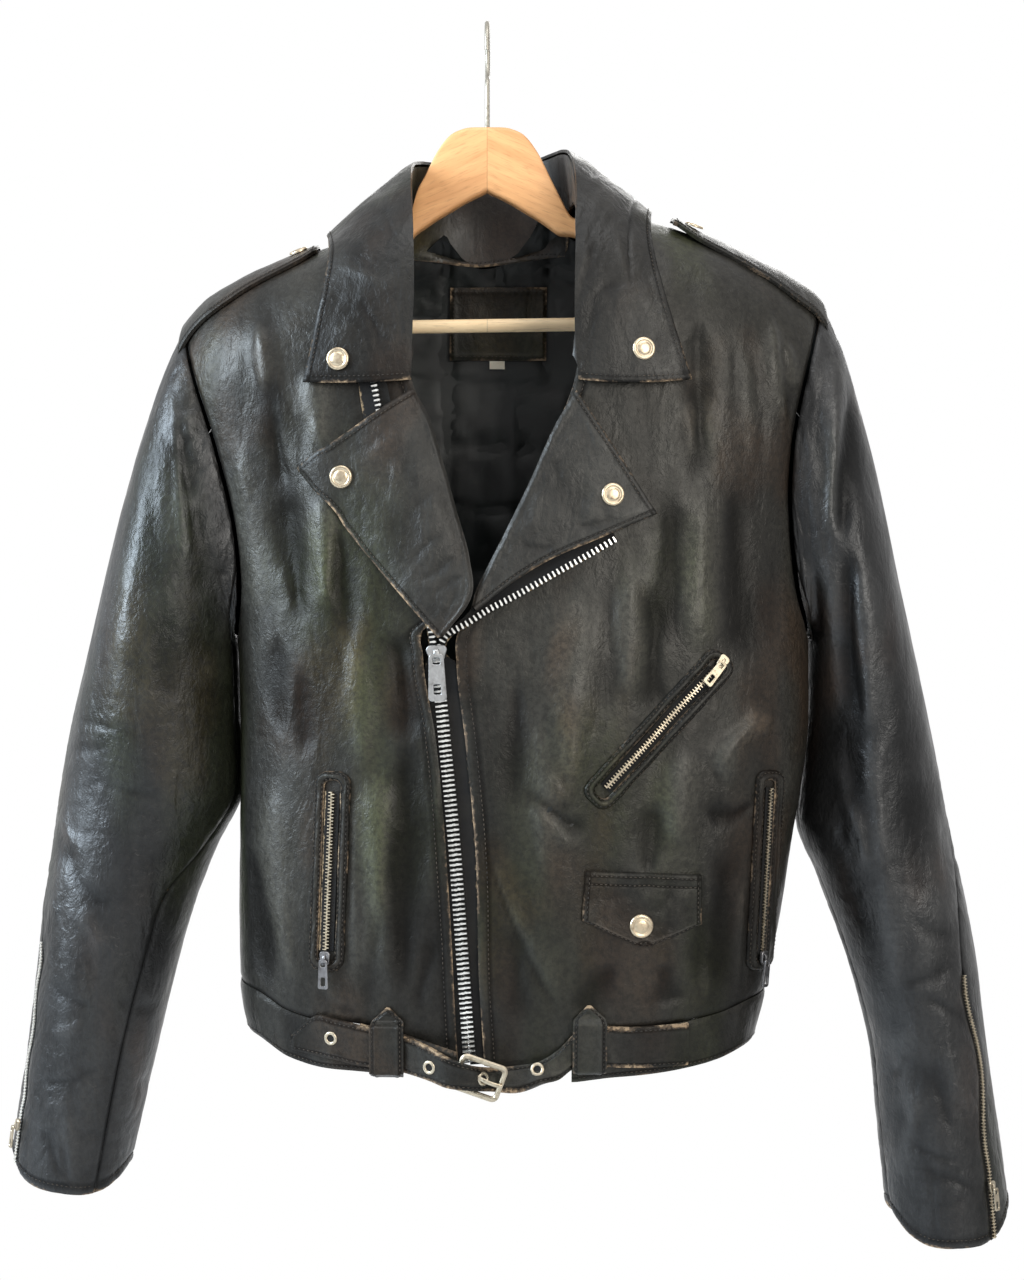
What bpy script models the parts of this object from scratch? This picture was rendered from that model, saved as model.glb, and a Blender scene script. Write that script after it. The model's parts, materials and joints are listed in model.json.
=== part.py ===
"""A worn leather motorcycle jacket, closed below its lapels, on a wooden hanger.

All sizes are in millimetres and become metres when a node is made. +X is the
wearer's left, the front faces -Y, +Z is up, and the origin is the inside top of
the hanger's hook. "right" and "left" are the wearer's, so right is at -X.
Each table has a row for each section, point or fold; its columns are named above it.
"""

import math

import bpy
import numpy as np

MM = 0.001
RIGHT, LEFT = -1, 1
FRONT, BACK = -1, 1
SIDE_NAMES = {RIGHT: "right", LEFT: "left"}

# Walls, outermost size first.
LEATHER = 1.4
DOUBLED = 2.2
BELT_LEATHER = 2.6
LINING = 1.0
SEAM_GAP = 0.3
SIDE_GAP = 0.6
LAY_GAP = 0.55
LINING_GAP = 3.6
LINING_MIDDLE = 4.0
LINING_NARROWS = 0.47
NECK_GAP = 2.8
BACK_NECK_GAP = 4.4

# ---------------------------------------------------------------- materials
COLOURS = {
    # name: (red, green, blue, roughness, metallic)
    "leather": (0.020, 0.018, 0.017, 0.42, 0.0),
    "lining": (0.010, 0.010, 0.012, 0.55, 0.0),
    "tape": (0.012, 0.012, 0.013, 0.85, 0.0),
    "nickel": (0.62, 0.58, 0.52, 0.30, 1.0),
    "tag": (0.62, 0.58, 0.48, 0.80, 0.0),
    "wood": (0.55, 0.33, 0.16, 0.45, 0.0),
    "steel": (0.60, 0.60, 0.60, 0.28, 1.0),
}


# ---------------------------------------------------------------- small tools
def smooth(rows):
    """A smooth curve through rows of (key, value, ...), level past both ends."""
    table = np.array(sorted(rows), float)
    keys, values = table[:, 0], table[:, 1:]
    slopes = np.gradient(values, keys, axis=0)

    def at(key):
        key = np.clip(np.asarray(key, float), keys[0], keys[-1])
        i = np.clip(np.searchsorted(keys, key, side="right") - 1, 0, len(keys) - 2)
        step = keys[i + 1] - keys[i]
        t = (key - keys[i]) / step
        first = (1 + 2 * t) * (1 - t) ** 2
        last = t * t * (3 - 2 * t)
        leave = t * (1 - t) ** 2 * step
        arrive = t * t * (t - 1) * step
        found = [
            values[i, n] * first + values[i + 1, n] * last + slopes[i, n] * leave + slopes[i + 1, n] * arrive
            for n in range(values.shape[1])
        ]
        return found[0] if len(found) == 1 else found

    return at


def along(points, count):
    """Points at even steps along a smooth curve through the given points."""
    points = np.array(points, float)
    reach = np.r_[0, np.cumsum(np.linalg.norm(np.diff(points, axis=0), axis=1))]
    curve = smooth([(r, *p) for r, p in zip(reach, points)])
    return np.stack(curve(np.linspace(0, reach[-1], count)), axis=-1)


def unit(vectors):
    return vectors / np.maximum(np.linalg.norm(vectors, axis=-1, keepdims=True), 1e-9)


def made_material(name):
    found = bpy.data.materials.get(name)
    if found:
        return found
    red, green, blue, roughness, metallic = COLOURS[name]
    material = bpy.data.materials.new(name)
    material.use_nodes = True
    shader = material.node_tree.nodes["Principled BSDF"]
    shader.inputs["Base Color"].default_value = (red, green, blue, 1)
    shader.inputs["Roughness"].default_value = roughness
    shader.inputs["Metallic"].default_value = metallic
    material.diffuse_color = (red, green, blue, 1)
    return material


def volume(points, faces):
    total = 0.0
    for face in faces:
        for i in range(1, len(face) - 1):
            total += np.dot(points[face[0]], np.cross(points[face[i]], points[face[i + 1]]))
    return total


def node(name, points, faces, material, origin=(0, 0, 0)):
    """One named solid, faces turned outward, its origin where its joint turns."""
    points = np.asarray(points, float)
    if volume(points, faces) < 0:
        faces = [tuple(reversed(face)) for face in faces]
    origin = np.asarray(origin, float)
    mesh = bpy.data.meshes.new(name)
    mesh.from_pydata(((points - origin) * MM).tolist(), [], [tuple(int(i) for i in f) for f in faces])
    mesh.materials.append(made_material(material))
    mesh.update()
    obj = bpy.data.objects.new(name, mesh)
    obj.location = origin * MM
    bpy.context.collection.objects.link(obj)
    return obj


def grid_normals(grid):
    """Unit normals of a grid of points, from the lines to their neighbours."""
    across = np.gradient(grid, axis=1)
    up = np.gradient(grid, axis=0)
    return unit(np.cross(across, up))


def wall(name, grid, thickness, material, normals=None):
    """Cloth as a closed wall: the outer face is the grid, the inner one lies inward."""
    rows, columns = grid.shape[:2]
    inner = grid - (grid_normals(grid) if normals is None else normals) * thickness
    points = np.concatenate([grid.reshape(-1, 3), inner.reshape(-1, 3)])
    lower = rows * columns
    faces = []
    for i in range(rows - 1):
        for j in range(columns - 1):
            a, d = i * columns + j, (i + 1) * columns + j
            b, c = a + 1, d + 1
            faces += [(a, b, c, d), (a + lower, d + lower, c + lower, b + lower)]
    loop = list(range(columns))
    loop += [i * columns + columns - 1 for i in range(1, rows)]
    loop += [(rows - 1) * columns + j for j in range(columns - 2, -1, -1)]
    loop += [i * columns for i in range(rows - 2, 0, -1)]
    faces += [(b, a, a + lower, b + lower) for a, b in zip(loop, loop[1:] + loop[:1])]
    return node(name, points, faces, material)


def tube_faces(rings, size):
    """Faces of a capped tube: the point lists of its rings follow each other."""
    faces = [tuple(range(size - 1, -1, -1)), tuple(range((rings - 1) * size, rings * size))]
    for i in range(rings - 1):
        for j in range(size):
            k = (j + 1) % size
            faces.append((i * size + j, i * size + k, (i + 1) * size + k, (i + 1) * size + j))
    return faces


def frame_at(normal, up=(0, 0, 1)):
    """Sideways, upward and outward directions on a surface that faces the normal."""
    normal = unit(np.asarray(normal, float))
    side = unit(np.cross(np.asarray(up, float), normal))
    return side, np.cross(normal, side), normal


def prism(outline, depth, centre, frame):
    """Points and faces of a flat outline, thickened between two depths."""
    side, up, out = frame
    points = []
    for level in depth:
        points += [centre + side * x + up * y + out * level for x, y in outline]
    return np.array(points), tube_faces(2, len(outline))


def rounded(width, height, radius, arc=3):
    """A rectangle round its centre, its corners as arcs."""
    points = []
    for quarter, (sx, sy) in enumerate(((1, 1), (-1, 1), (-1, -1), (1, -1))):
        for step in range(arc + 1):
            angle = math.pi / 2 * (quarter + step / arc)
            points.append(
                (
                    sx * (width / 2 - radius) + radius * math.cos(angle),
                    sy * (height / 2 - radius) + radius * math.sin(angle),
                )
            )
    return points


def framed_plate(outer, inner, depth, centre, frame):
    """A flat plate with one window, both outlines with the same number of points."""
    side, up, out = frame
    size = len(outer)
    points = []
    for level in depth:
        for outline in (outer, inner):
            points += [centre + side * x + up * y + out * level for x, y in outline]
    faces = []
    for j in range(size):
        k = (j + 1) % size
        low_out, low_in, top_out, top_in = 0, size, 2 * size, 3 * size
        faces.append((low_out + k, low_out + j, low_in + j, low_in + k))
        faces.append((top_out + j, top_out + k, top_in + k, top_in + j))
        faces.append((low_out + j, low_out + k, top_out + k, top_out + j))
        faces.append((low_in + k, low_in + j, top_in + j, top_in + k))
    return np.array(points), faces


# ---------------------------------------------------------------- the body's form
# Body sections: height, right edge x, left edge x, middle x, front depth, back depth, squareness
BODY = smooth([
    (-770, -164, 186, 12, 84, 68, 3.0),
    (-740, -168, 190, 12, 88, 70, 3.0),
    (-710, -176, 198, 12, 92, 72, 2.9),
    (-650, -179, 211, 12, 96, 74, 2.7),
    (-590, -179, 221, 12, 98, 74, 2.6),
    (-520, -179, 232, 12, 99, 72, 2.5),
    (-450, -181, 233, 10, 98, 69, 2.5),
    (-384, -190, 232, 8, 95, 66, 2.4),
    (-313, -212, 238, 6, 92, 63, 2.4),
    (-240, -238, 256, 5, 88, 61, 2.4),
    (-180, -252, 276, 5, 86, 60, 2.4),
])
# Armhole seam, as a share of the half width: height, share
ARMHOLE = smooth([
    (-450, 0.9995), (-419, 0.955), (-384, 0.93), (-349, 0.912), (-313, 0.903), (-240, 0.90), (-200, 0.90),
])
# Shoulder seam: x, height
SHOULDER = smooth([
    (-236, -246), (-226, -233), (-207, -208), (-179, -189), (-141, -172), (-109, -160), (-62, -141),
    (0, -131), (66, -129), (100, -139), (138, -150), (173, -163), (217, -186), (240, -203), (250, -217),
    (258, -232),
])
# Lower edge of the fronts, dipping between the belt loops: x, height
HEM = smooth([
    (-180, -690), (-157, -695), (-140, -704), (-126, -708), (-90, -711.7), (-74, -714.5), (-40, -729),
    (-20, -737), (0, -741), (25, -741), (45, -737), (66, -727), (88, -716.5), (112, -714), (144, -710),
    (165, -706), (181, -701), (200, -697),
])
# Lower edge of the waistband, in front: x, height
BAND_FOOT = smooth([
    (-180, -723.3), (-157, -728.3), (-140, -737.3), (-126, -741.3), (-74, -746.3), (-57, -749), (59, -752.3),
    (82, -749.3), (112, -747.3), (144, -743.3), (165, -739.3), (181, -734.3), (200, -730.3),
])
# Seam above the waistband, behind: x, height
BACK_HEM = smooth([(-180, -690), (-100, -700), (12, -704), (120, -702), (200, -697)])
# Inner edge of each front: height, x
EDGE = {
    RIGHT: smooth([
        (-742, -19), (-724, -20), (-625, -25), (-516, -34), (-457, -43), (-441, -43), (-428, -24),
        (-416, -12), (-393, -13), (-353, -22), (-319, -33), (-289, -43), (-272, -50), (-240, -56),
        (-200, -61), (-165, -63), (-141, -62),
    ]),
    LEFT: smooth([
        (-742, -1), (-724, -2), (-694, -4), (-591, -7), (-516, -14), (-462, -20), (-446, -20), (-430, -12),
        (-418, -7), (-385, 9), (-339, 31), (-302, 48), (-272, 60), (-240, 65), (-200, 69), (-165, 70),
        (-129, 66),
    ]),
}
NECK = {RIGHT: (-62, -141), LEFT: (66, -129)}
ROLL_OVER = {FRONT: 86.0, BACK: 72.0}
BACK_NECK_DROP = 34.0
ARMPIT = -450.0
WAISTBAND = 33.0

# Largest folds, on the front: x and height of both ends, half width, height of the ridge
FOLDS = [
    (-157, -222, -146, -300, 9, 3.2),
    (-148, -300, -138, -400, 12, -3.0),
    (-113, -300, -112, -455, 13, 2.8),
    (-66, -470, -72, -560, 14, -2.6),
    (-58, -560, -66, -690, 12, 2.6),
    (146, -232, 148, -290, 9, -2.6),
    (200, -236, 206, -330, 9, 3.0),
    (60, -450, 40, -690, 18, 3.0),
    (126, -440, 112, -600, 16, -2.6),
    (172, -500, 160, -690, 14, 3.0),
]


def folds_at(x, z):
    """How far the folds lift the front at a place."""
    lift = np.zeros(np.broadcast(x, z).shape)
    for x1, z1, x2, z2, half, height in FOLDS:
        length2 = (x2 - x1) ** 2 + (z2 - z1) ** 2
        t = ((x - x1) * (x2 - x1) + (z - z1) * (z2 - z1)) / length2
        away = ((x - x1) * (z2 - z1) - (z - z1) * (x2 - x1)) / math.sqrt(length2)
        ends = np.clip(np.minimum(t, 1 - t) * 3 + 0.35, 0, 1)
        lift += height * ends * ends * (3 - 2 * ends) * np.exp(-((away / half) ** 2))
    return lift


def body_y(x, z, face):
    """The y of the body's outer surface, front or back, at a place."""
    right, left, middle, front, back, power = BODY(z)
    half = np.where(x < middle, middle - right, left - middle)
    share = np.clip(np.abs(x - middle) / half, 0, 1)
    depth = front if face == FRONT else back
    drop = np.clip((SHOULDER(x) - z) / ROLL_OVER[face], 0, 1)
    over = np.sqrt(np.maximum(1 - (1 - drop) ** 2, 0))
    rim = (1 - share**power) ** (1 / power)
    y = depth * rim * over
    if face == FRONT:
        y = y + folds_at(x, z) * np.minimum(rim * 1.6, 1) * over
    return face * y


def on_body(x, z, lift=0.0, face=FRONT):
    """A point on the body's surface, moved out by the lift."""
    x, z = np.broadcast_arrays(np.asarray(x, float), np.asarray(z, float))
    step = 1.0
    y = body_y(x, z, face)
    slope_x = (body_y(x + step, z, face) - body_y(x - step, z, face)) / (2 * step)
    slope_z = (body_y(x, z + step, face) - body_y(x, z - step, face)) / (2 * step)
    normal = unit(np.stack([-slope_x * face, np.full(x.shape, float(face)), -slope_z * face], axis=-1))
    return np.stack([x, y, z], axis=-1) + normal * np.asarray(lift)[..., None]


def body_normal(x, z, face=FRONT):
    return unit(on_body(x, z, 1.0, face) - on_body(x, z, 0.0, face))


def armhole_x(z, side):
    right, left, middle, _, _, _ = BODY(z)
    share = ARMHOLE(z)
    return middle + share * (np.where(side == RIGHT, right, left) - middle)


def row_heights(x, v, hem):
    """Height of a row that starts at the hem and ends at the shoulder, v from 0 to 1."""
    top = SHOULDER(x)
    turn = 0.26
    roll = 80.0
    share = np.clip((1 - v) / turn, 0, 1)
    rolled = top - roll * (1 - np.cos(share * math.pi / 2)) - 0.004
    fallen = top - roll - (top - roll - hem) * np.clip((1 - turn - v) / (1 - turn), 0, 1)
    return np.where(v > 1 - turn, rolled, fallen)


def front_grid(side, columns, rows, lift=0.0):
    """Outer points of one front, from its inner edge to its side seam and armhole."""
    f = np.linspace(0, 1, columns)[None, :]
    v = np.linspace(0, 1, rows)[:, None]
    z = -720 + 560 * v + 0 * f
    ease = np.sin(f * math.pi / 2) * 0.8 + f * 0.2
    for _ in range(40):
        inner = EDGE[side](z)
        outer = armhole_x(z, side)
        x = inner + (outer - inner) * ease
        z = 0.5 * z + 0.5 * row_heights(x, v, HEM(x) + SEAM_GAP)
    grid = on_body(x, z, lift)
    close_seams(grid, (-1,), FRONT)
    return grid if side == LEFT else grid[:, ::-1]


def close_seams(grid, edges, face):
    """Brings side seams below the armholes, and the shoulder seam, to the middle plane."""
    for j in edges:
        low = grid[:, j, 2] < ARMPIT + 2
        grid[low, j, 1] = face * SIDE_GAP
    grid[-1, :, 1] = face * np.maximum(face * grid[-1, :, 1], SIDE_GAP)


def back_grid(columns, rows, lift=0.0, neck_lift=0.0, foot=0.0, reach=1.0):
    """Outer points of the back, from the left side seam to the right one."""
    f = np.linspace(-reach, reach, columns)[None, :]
    v = np.linspace(0, 1, rows)[:, None]
    z = -720 + 560 * v + 0 * f
    ease = np.sign(f) * (np.sin(np.abs(f) * math.pi / 2) * 0.8 + np.abs(f) * 0.2)
    centre = (NECK[RIGHT][0] + NECK[LEFT][0]) / 2
    for _ in range(40):
        right = armhole_x(z, RIGHT)
        left = armhole_x(z, LEFT)
        x = np.where(ease < 0, centre + (centre - right) * ease, centre + (left - centre) * ease)
        neck = 1 - np.clip(np.abs(x - centre) / (NECK[LEFT][0] - centre + 2), 0, 1) ** 2.4
        dip = (BACK_NECK_DROP + neck_lift) * neck * np.clip((v - 0.4) / 0.6, 0, 1)
        z = 0.5 * z + 0.5 * (row_heights(x, v, BACK_HEM(x) + SEAM_GAP + foot) - dip)
    grid = on_body(x, z, lift, BACK)
    if reach == 1.0:
        close_seams(grid, (0, -1), BACK)
    return grid[:, ::-1]


def make_body():
    for side in (RIGHT, LEFT):
        wall("front_" + SIDE_NAMES[side], front_grid(side, 12, 21), LEATHER, "leather")
    wall("back", back_grid(17, 17), LEATHER, "leather")
    lining = back_grid(11, 15, neck_lift=6.0, foot=3.0, reach=0.92)
    x, z = lining[:-1, :, 0], lining[:-1, :, 2]
    x = LINING_MIDDLE + (x - LINING_MIDDLE) * (1 - LINING_NARROWS * np.clip((z + 192) / 20, 0, 1))
    wall("lining_back", on_body(x, z, 0 * x - LEATHER - LINING_GAP, BACK), LINING, "lining")


# ---------------------------------------------------------------- sleeves
# Sleeve sections below the armpit: height, inner x, outer x, middle y, half depth
SLEEVES = {
    RIGHT: smooth([
        (-455, -182.3, -290, 4, 70), (-500, -180.8, -301, 6, 67), (-564, -181.2, -313, 8, 61),
        (-594, -197, -317, 8, 60), (-653, -218, -326, 6, 57), (-712, -234, -331, 4, 54),
        (-771, -247, -338, 2, 50), (-835, -260, -345, 0, 47),
    ]),
    LEFT: smooth([
        (-455, 233.6, 313, 22, 76), (-500, 233.7, 323, 22, 74), (-545, 230.2, 332, 20, 69),
        (-580, 227.2, 338, 16, 64), (-624, 244, 347, 12, 59), (-683, 265, 357, 8, 55),
        (-741, 280, 364, 6, 52), (-800, 285, 371, 4, 49), (-875, 291, 379, 0, 47),
    ]),
}
# Seams as a share of the turn from the inner side over the front: height, front seam, zip seam
SEAMS = {
    RIGHT: smooth([
        (-255, 0.11, 0.66), (-455, 0.035, 0.62), (-560, 0.045, 0.54), (-590, 0.06, 0.50),
        (-629, 0.13, 0.45), (-668, 0.138, 0.421), (-731, 0.148, 0.424), (-835, 0.151, 0.415),
    ]),
    LEFT: smooth([
        (-255, 0.11, 0.66), (-455, 0.02, 0.60), (-560, 0.02, 0.49), (-624, 0.02, 0.41),
        (-689, 0.02, 0.357), (-741, 0.02, 0.371), (-795, 0.02, 0.363), (-875, 0.02, 0.352),
    ]),
}
# Cuff edge: height in front, rise from inner to outer, rise at both sides
CUFF = {RIGHT: (-839, 6.5, 17.5), LEFT: (-878, 2.5, 22.5)}
SLEEVE_TOP = -455.0
ZIP_TOP = {RIGHT: -662.0, LEFT: -684.0}
CHAIN_HALF = 3.1
CAP_OFFSET = 1.7


def armhole_loop(side, share):
    """Points of the armhole: share 0 at the armpit, over the front to 0.5 at the shoulder."""
    front = front_grid(side, 3, 160)[:, 0 if side == RIGHT else -1]
    back = back_grid(3, 160)[:, -1 if side == RIGHT else 0]
    points = []
    for edge in (front, back):
        edge = edge[edge[:, 2] >= ARMPIT]
        reach = np.r_[0, np.cumsum(np.linalg.norm(np.diff(edge, axis=0), axis=1))]
        points.append((reach / reach[-1], edge))
    share = np.mod(share, 1.0)
    over = np.where(share <= 0.5, share * 2, 2 - share * 2)
    found = np.empty(share.shape + (3,))
    for half, chosen in zip(points, (share <= 0.5, share > 0.5)):
        for axis in range(3):
            found[..., axis] = np.where(chosen, np.interp(over, half[0], half[1][:, axis]), found[..., axis])
    return found


def sleeve_ring(side, height, share):
    inner, outer, middle, depth = SLEEVES[side](height)
    turn = 2 * math.pi * share
    x = (inner + outer) / 2 + (inner - outer) / 2 * np.cos(turn)
    y = middle - depth * np.sin(turn)
    low, tilt, rise = CUFF[side]
    cosine = np.cos(turn)
    edge = low - tilt * cosine + rise * cosine**4
    fall = np.clip((-760 - height) / (-760 - low), 0, 1)
    z = height + (edge - low) * fall
    return np.stack([x, y, z], axis=-1)


def sleeve_point(side, row, share):
    """A point of a sleeve; rows run from 0 at the armhole to 1 at the armpit, then on as heights."""
    if row > 1:
        return sleeve_ring(side, -row, share)
    start = armhole_loop(side, share)
    start[..., 0] += side * CAP_OFFSET
    end = sleeve_ring(side, SLEEVE_TOP, share)
    below = sleeve_ring(side, SLEEVE_TOP - 20, share)
    span = np.linalg.norm(end - start, axis=-1, keepdims=True)
    turn = 2 * math.pi * share
    outward = side * (0.50 + 0.2 * np.abs(np.sin(turn)))
    leave = np.stack([outward, -0.35 * np.sin(turn), -0.86 + 0 * turn], axis=-1)
    leave = unit(leave) * span * 0.6
    arrive = unit(below - end) * span
    t = row
    return (
        start * (1 + 2 * t) * (1 - t) ** 2
        + end * t * t * (3 - 2 * t)
        + leave * t * (1 - t) ** 2
        + arrive * t * t * (t - 1)
    )


def sleeve_rows(side):
    low = -CUFF[side][0]
    zip_top = -ZIP_TOP[side]
    upper = [455, 485, 515, 545, 570, 595, 622, 646]
    lower = list(np.linspace(zip_top + 6, low, 6))
    return [0, 0.12, 0.27, 0.45, 0.63, 0.82] + upper + [zip_top] + lower


def sleeve_grid(side, first, last, columns):
    """Outer points of a sleeve piece between two seams; 0 is the front seam, 1 the zip seam."""
    grid = []
    for row in sleeve_rows(side):
        height = -455 + (1 - row) * 200 if row <= 1 else -row
        seams = np.array(SEAMS[side](height))
        inner, outer, _, depth = SLEEVES[side](height)
        around = math.pi * ((outer - inner) * side / 2 + depth)
        open_zip = CHAIN_HALF if row > -ZIP_TOP[side] + 1 else SEAM_GAP / 2 + 0.1
        gaps = np.array([SEAM_GAP / 2 + 0.1, open_zip]) / around
        start = seams[first] + gaps[first]
        end = seams[last] + (1 if last < first else 0) - gaps[last]
        step = (end - start) / (columns - 1)
        grid.append(sleeve_point(side, row, np.linspace(start - step, end + step, columns + 2)))
    grid = np.array(grid)
    grid = grid if side == RIGHT else grid[:, ::-1]
    return grid[:, 1:-1], grid_normals(grid)[:, 1:-1]


def make_sleeves():
    for side in (RIGHT, LEFT):
        name = "sleeve_" + SIDE_NAMES[side]
        for part, first, last, columns in (("_top", 0, 1, 8), ("_under", 1, 0, 10)):
            grid, normals = sleeve_grid(side, first, last, columns)
            wall(name + part, grid, LEATHER, "leather", normals)


# ---------------------------------------------------------------- collar
# Collar sections from the right point round the neck to the left point:
# fold x, y, z, middle x, y, z, edge x, y, z
COLLAR = [
    (-51, -93.5, -269, -88, -94.5, -271, -126, -88.5, -270),
    (-50, -95.5, -236, -84, -95.0, -237, -119, -88.0, -236),
    (-49, -94.5, -203, -80, -92.5, -206, -113, -83.0, -206),
    (-50, -84, -168, -78, -82, -174, -110, -68.0, -179),
    (-53, -58, -129, -80, -56, -146, -113, -40.0, -163),
    (-54, -26, -107, -84, -22, -128, -116, -8.0, -155),
    (-50, 6, -97, -80, 20, -118, -112, 38.0, -162),
    (-36, 32, -92, -58, 52, -114, -84, 58.0, -168),
    (-16, 46, -90, -24, 66, -116, -34, 68.0, -176),
    (6, 49, -89, 8, 70, -116, 12, 70.0, -176),
    (28, 46, -88, 38, 66, -112, 52, 67.0, -168),
    (45, 31, -86, 68, 52, -106, 94, 57.0, -155),
    (56, 6, -88, 84, 20, -107, 115, 39.0, -145),
    (61, -26, -100, 88, -22, -116, 119, -8.0, -138.5),
    (63, -58, -124, 88, -56, -136, 117, -43.0, -148),
    (62, -84, -163, 86, -82.5, -169, 117, -69.5, -173),
    (61, -94.5, -200, 88, -93, -204, 123, -84.5, -207),
    (61, -95.5, -235, 93, -95, -237, 132, -87.5, -237),
    (63.5, -94.5, -269, 101, -94.5, -271, 142, -87.5, -268),
]
COLLAR_STEPS = 23
COLLAR_END = -251.0


def collar_grid(columns, steps, start=0.0, end=1.0):
    """Outer points of the collar's fall, from the fold to its edge."""
    table = np.array(COLLAR, float)
    section = smooth([(i / (len(table) - 1), *row) for i, row in enumerate(table)])
    rows = np.stack(section(np.linspace(start, end, steps)), axis=-1).reshape(steps, 3, 3)
    s = np.linspace(0, 1, columns)[None, :, None]
    fold, middle, edge = rows[:, None, 0], rows[:, None, 1], rows[:, None, 2]
    return fold * (1 - s) * (1 - 2 * s) + middle * 4 * s * (1 - s) + edge * s * (2 * s - 1)


def neck_edge():
    """Points just inside the neck edges of the fronts and the back, right to left."""
    points = []
    for side in (RIGHT, LEFT):
        z = np.linspace(COLLAR_END, NECK[side][1] - 6, 16)
        x = EDGE[side](z)
        y = body_y(x, z, FRONT)
        edge = np.stack([x - side * NECK_GAP, y + NECK_GAP, z], axis=-1)
        points.append(edge if side == RIGHT else edge[::-1])
    top = back_grid(31, 20)[-1][::-1]
    inside = (top[:, 0] > NECK[RIGHT][0] - 2) & (top[:, 0] < NECK[LEFT][0] + 2)
    behind = top[inside] + np.array([0, -BACK_NECK_GAP, 0.8])
    behind[:, 0] *= 0.97
    return along(np.concatenate([points[0], behind, points[1]]), COLLAR_STEPS)


def make_collar():
    fall = collar_grid(5, COLLAR_STEPS)[:, ::-1]
    wall("collar_fall", fall, DOUBLED, "leather")
    fold = collar_grid(5, COLLAR_STEPS, 0.013, 0.987)[:, ::-1]
    normals = grid_normals(fold)
    top = fold[:, -1] - normals[:, -1] * (DOUBLED + LAY_GAP + 0.3) + (fold[:, -2] - fold[:, -1]) * 0.12
    foot = neck_edge()
    share = np.linspace(0, 1, 4)[None, :, None]
    stand = top[:, None] * (1 - share) + foot[:, None] * share
    wall("collar_stand", stand[:, ::-1], LEATHER, "leather")


# ---------------------------------------------------------------- lapels
# Roll line and outer edge of each lapel: share from top to bottom, x, height
LAPEL_ROLL = {
    RIGHT: smooth([
        (0, -50, -275), (0.1, -41, -289), (0.3, -30, -322), (0.5, -20, -357), (0.7, -10.5, -393),
        (0.85, -9.5, -419), (1, -28, -445),
    ]),
    LEFT: smooth([
        (0, 62, -276), (0.2, 46, -303), (0.4, 30, -339), (0.65, 10, -380), (0.9, -7, -415), (1, -9, -424),
    ]),
}
LAPEL_EDGE = {
    RIGHT: smooth([(0, -129, -329), (0.2, -106, -358), (0.5, -78, -393), (0.75, -55, -420), (1, -32, -446)]),
    LEFT: smooth([(0, 117, -361), (0.3, 78, -378), (0.6, 40, -395), (0.8, 15, -411), (1, -6, -428)]),
}
# Height above the front across a lapel: share from roll line to edge, lift
LAPEL_LIFT = {
    RIGHT: smooth([(0, 3.1), (0.2, 8.8), (0.5, 9.4), (0.8, 8.6), (1, 4.6)]),
    LEFT: smooth([(0, 3.6), (0.25, 4.8), (0.5, 5.2), (0.8, 5.2), (1, 5.2)]),
}
# Over the zip the lower tip is level: height above the front, share where that starts
LAPEL_TIP = {RIGHT: (9.4, 0.55), LEFT: (6.6, 0.8)}


def lapel_grid(side, rows, columns):
    t = np.linspace(0, 1, rows)[:, None]
    s = np.linspace(0, 1, columns)[None, :]
    roll_x, roll_z = LAPEL_ROLL[side](t)
    edge_x, edge_z = LAPEL_EDGE[side](t)
    x = roll_x + (edge_x - roll_x) * s
    z = roll_z + (edge_z - roll_z) * s
    tip, starts = LAPEL_TIP[side]
    level = np.clip((t - starts) / 0.25, 0, 1)
    grid = on_body(x, z, LAPEL_LIFT[side](s) * (1 - level) + tip * level)
    return grid if side == RIGHT else grid[:, ::-1]


def make_lapels():
    for side in (RIGHT, LEFT):
        wall("lapel_" + SIDE_NAMES[side], lapel_grid(side, 9, 6), DOUBLED, "leather")


# ---------------------------------------------------------------- shoulder straps
# Strap from the armhole to its free end: share, x, front edge y, back edge y, lift
STRAPS = {
    RIGHT: smooth([
        (0, -219, -28, 9, 4.4), (0.3, -196, -37, 5, 3.9), (0.75, -146, -40, 3, 3.9),
        (1, -121, -38, 2, 4.4),
    ]),
    LEFT: smooth([
        (0, 242, -28, 9, 4.4), (0.3, 216, -37, 5, 3.9), (0.75, 160, -40, 3, 4.1), (1, 132, -38, 2, 8.0),
    ]),
}
STRAP_LEATHER = 2.4


def on_shoulder(x, y, lift=0.0):
    """A point over the shoulder seam, from its x and y, moved out by the lift."""

    def height(x, y):
        z = SHOULDER(x) - 4.0
        for _ in range(3):
            right, left, middle, front, back, power = BODY(z)
            half = np.where(x < middle, middle - right, left - middle)
            rim = (1 - np.clip(np.abs(x - middle) / half, 0, 0.98) ** power) ** (1 / power)
            depth = np.where(y < 0, front, back) * rim
            turn = np.where(y < 0, ROLL_OVER[FRONT], ROLL_OVER[BACK])
            z = SHOULDER(x) - turn * (1 - np.sqrt(1 - np.clip(np.abs(y) / depth, 0, 0.99) ** 2))
        return z

    x, y = np.broadcast_arrays(np.asarray(x, float), np.asarray(y, float))
    z = height(x, y)
    slope_x = (height(x + 2, y) - height(x - 2, y)) / 4
    slope_y = (height(x, y + 2) - height(x, y - 2)) / 4
    normal = unit(np.stack([-slope_x, -slope_y, np.ones(x.shape)], axis=-1))
    return np.stack([x, y, z], axis=-1) + normal * np.asarray(lift)[..., None]


def make_straps():
    for side in (RIGHT, LEFT):
        x, front, back, lift = STRAPS[side](np.linspace(0, 1, 9)[:, None])
        y = front + (back - front) * np.linspace(0, 1, 6)[None, :]
        grid = on_shoulder(x + 0 * y, y, lift + 0 * y)
        grid = grid if side == LEFT else grid[:, ::-1]
        wall("epaulette_" + SIDE_NAMES[side], grid, STRAP_LEATHER, "leather")


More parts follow.
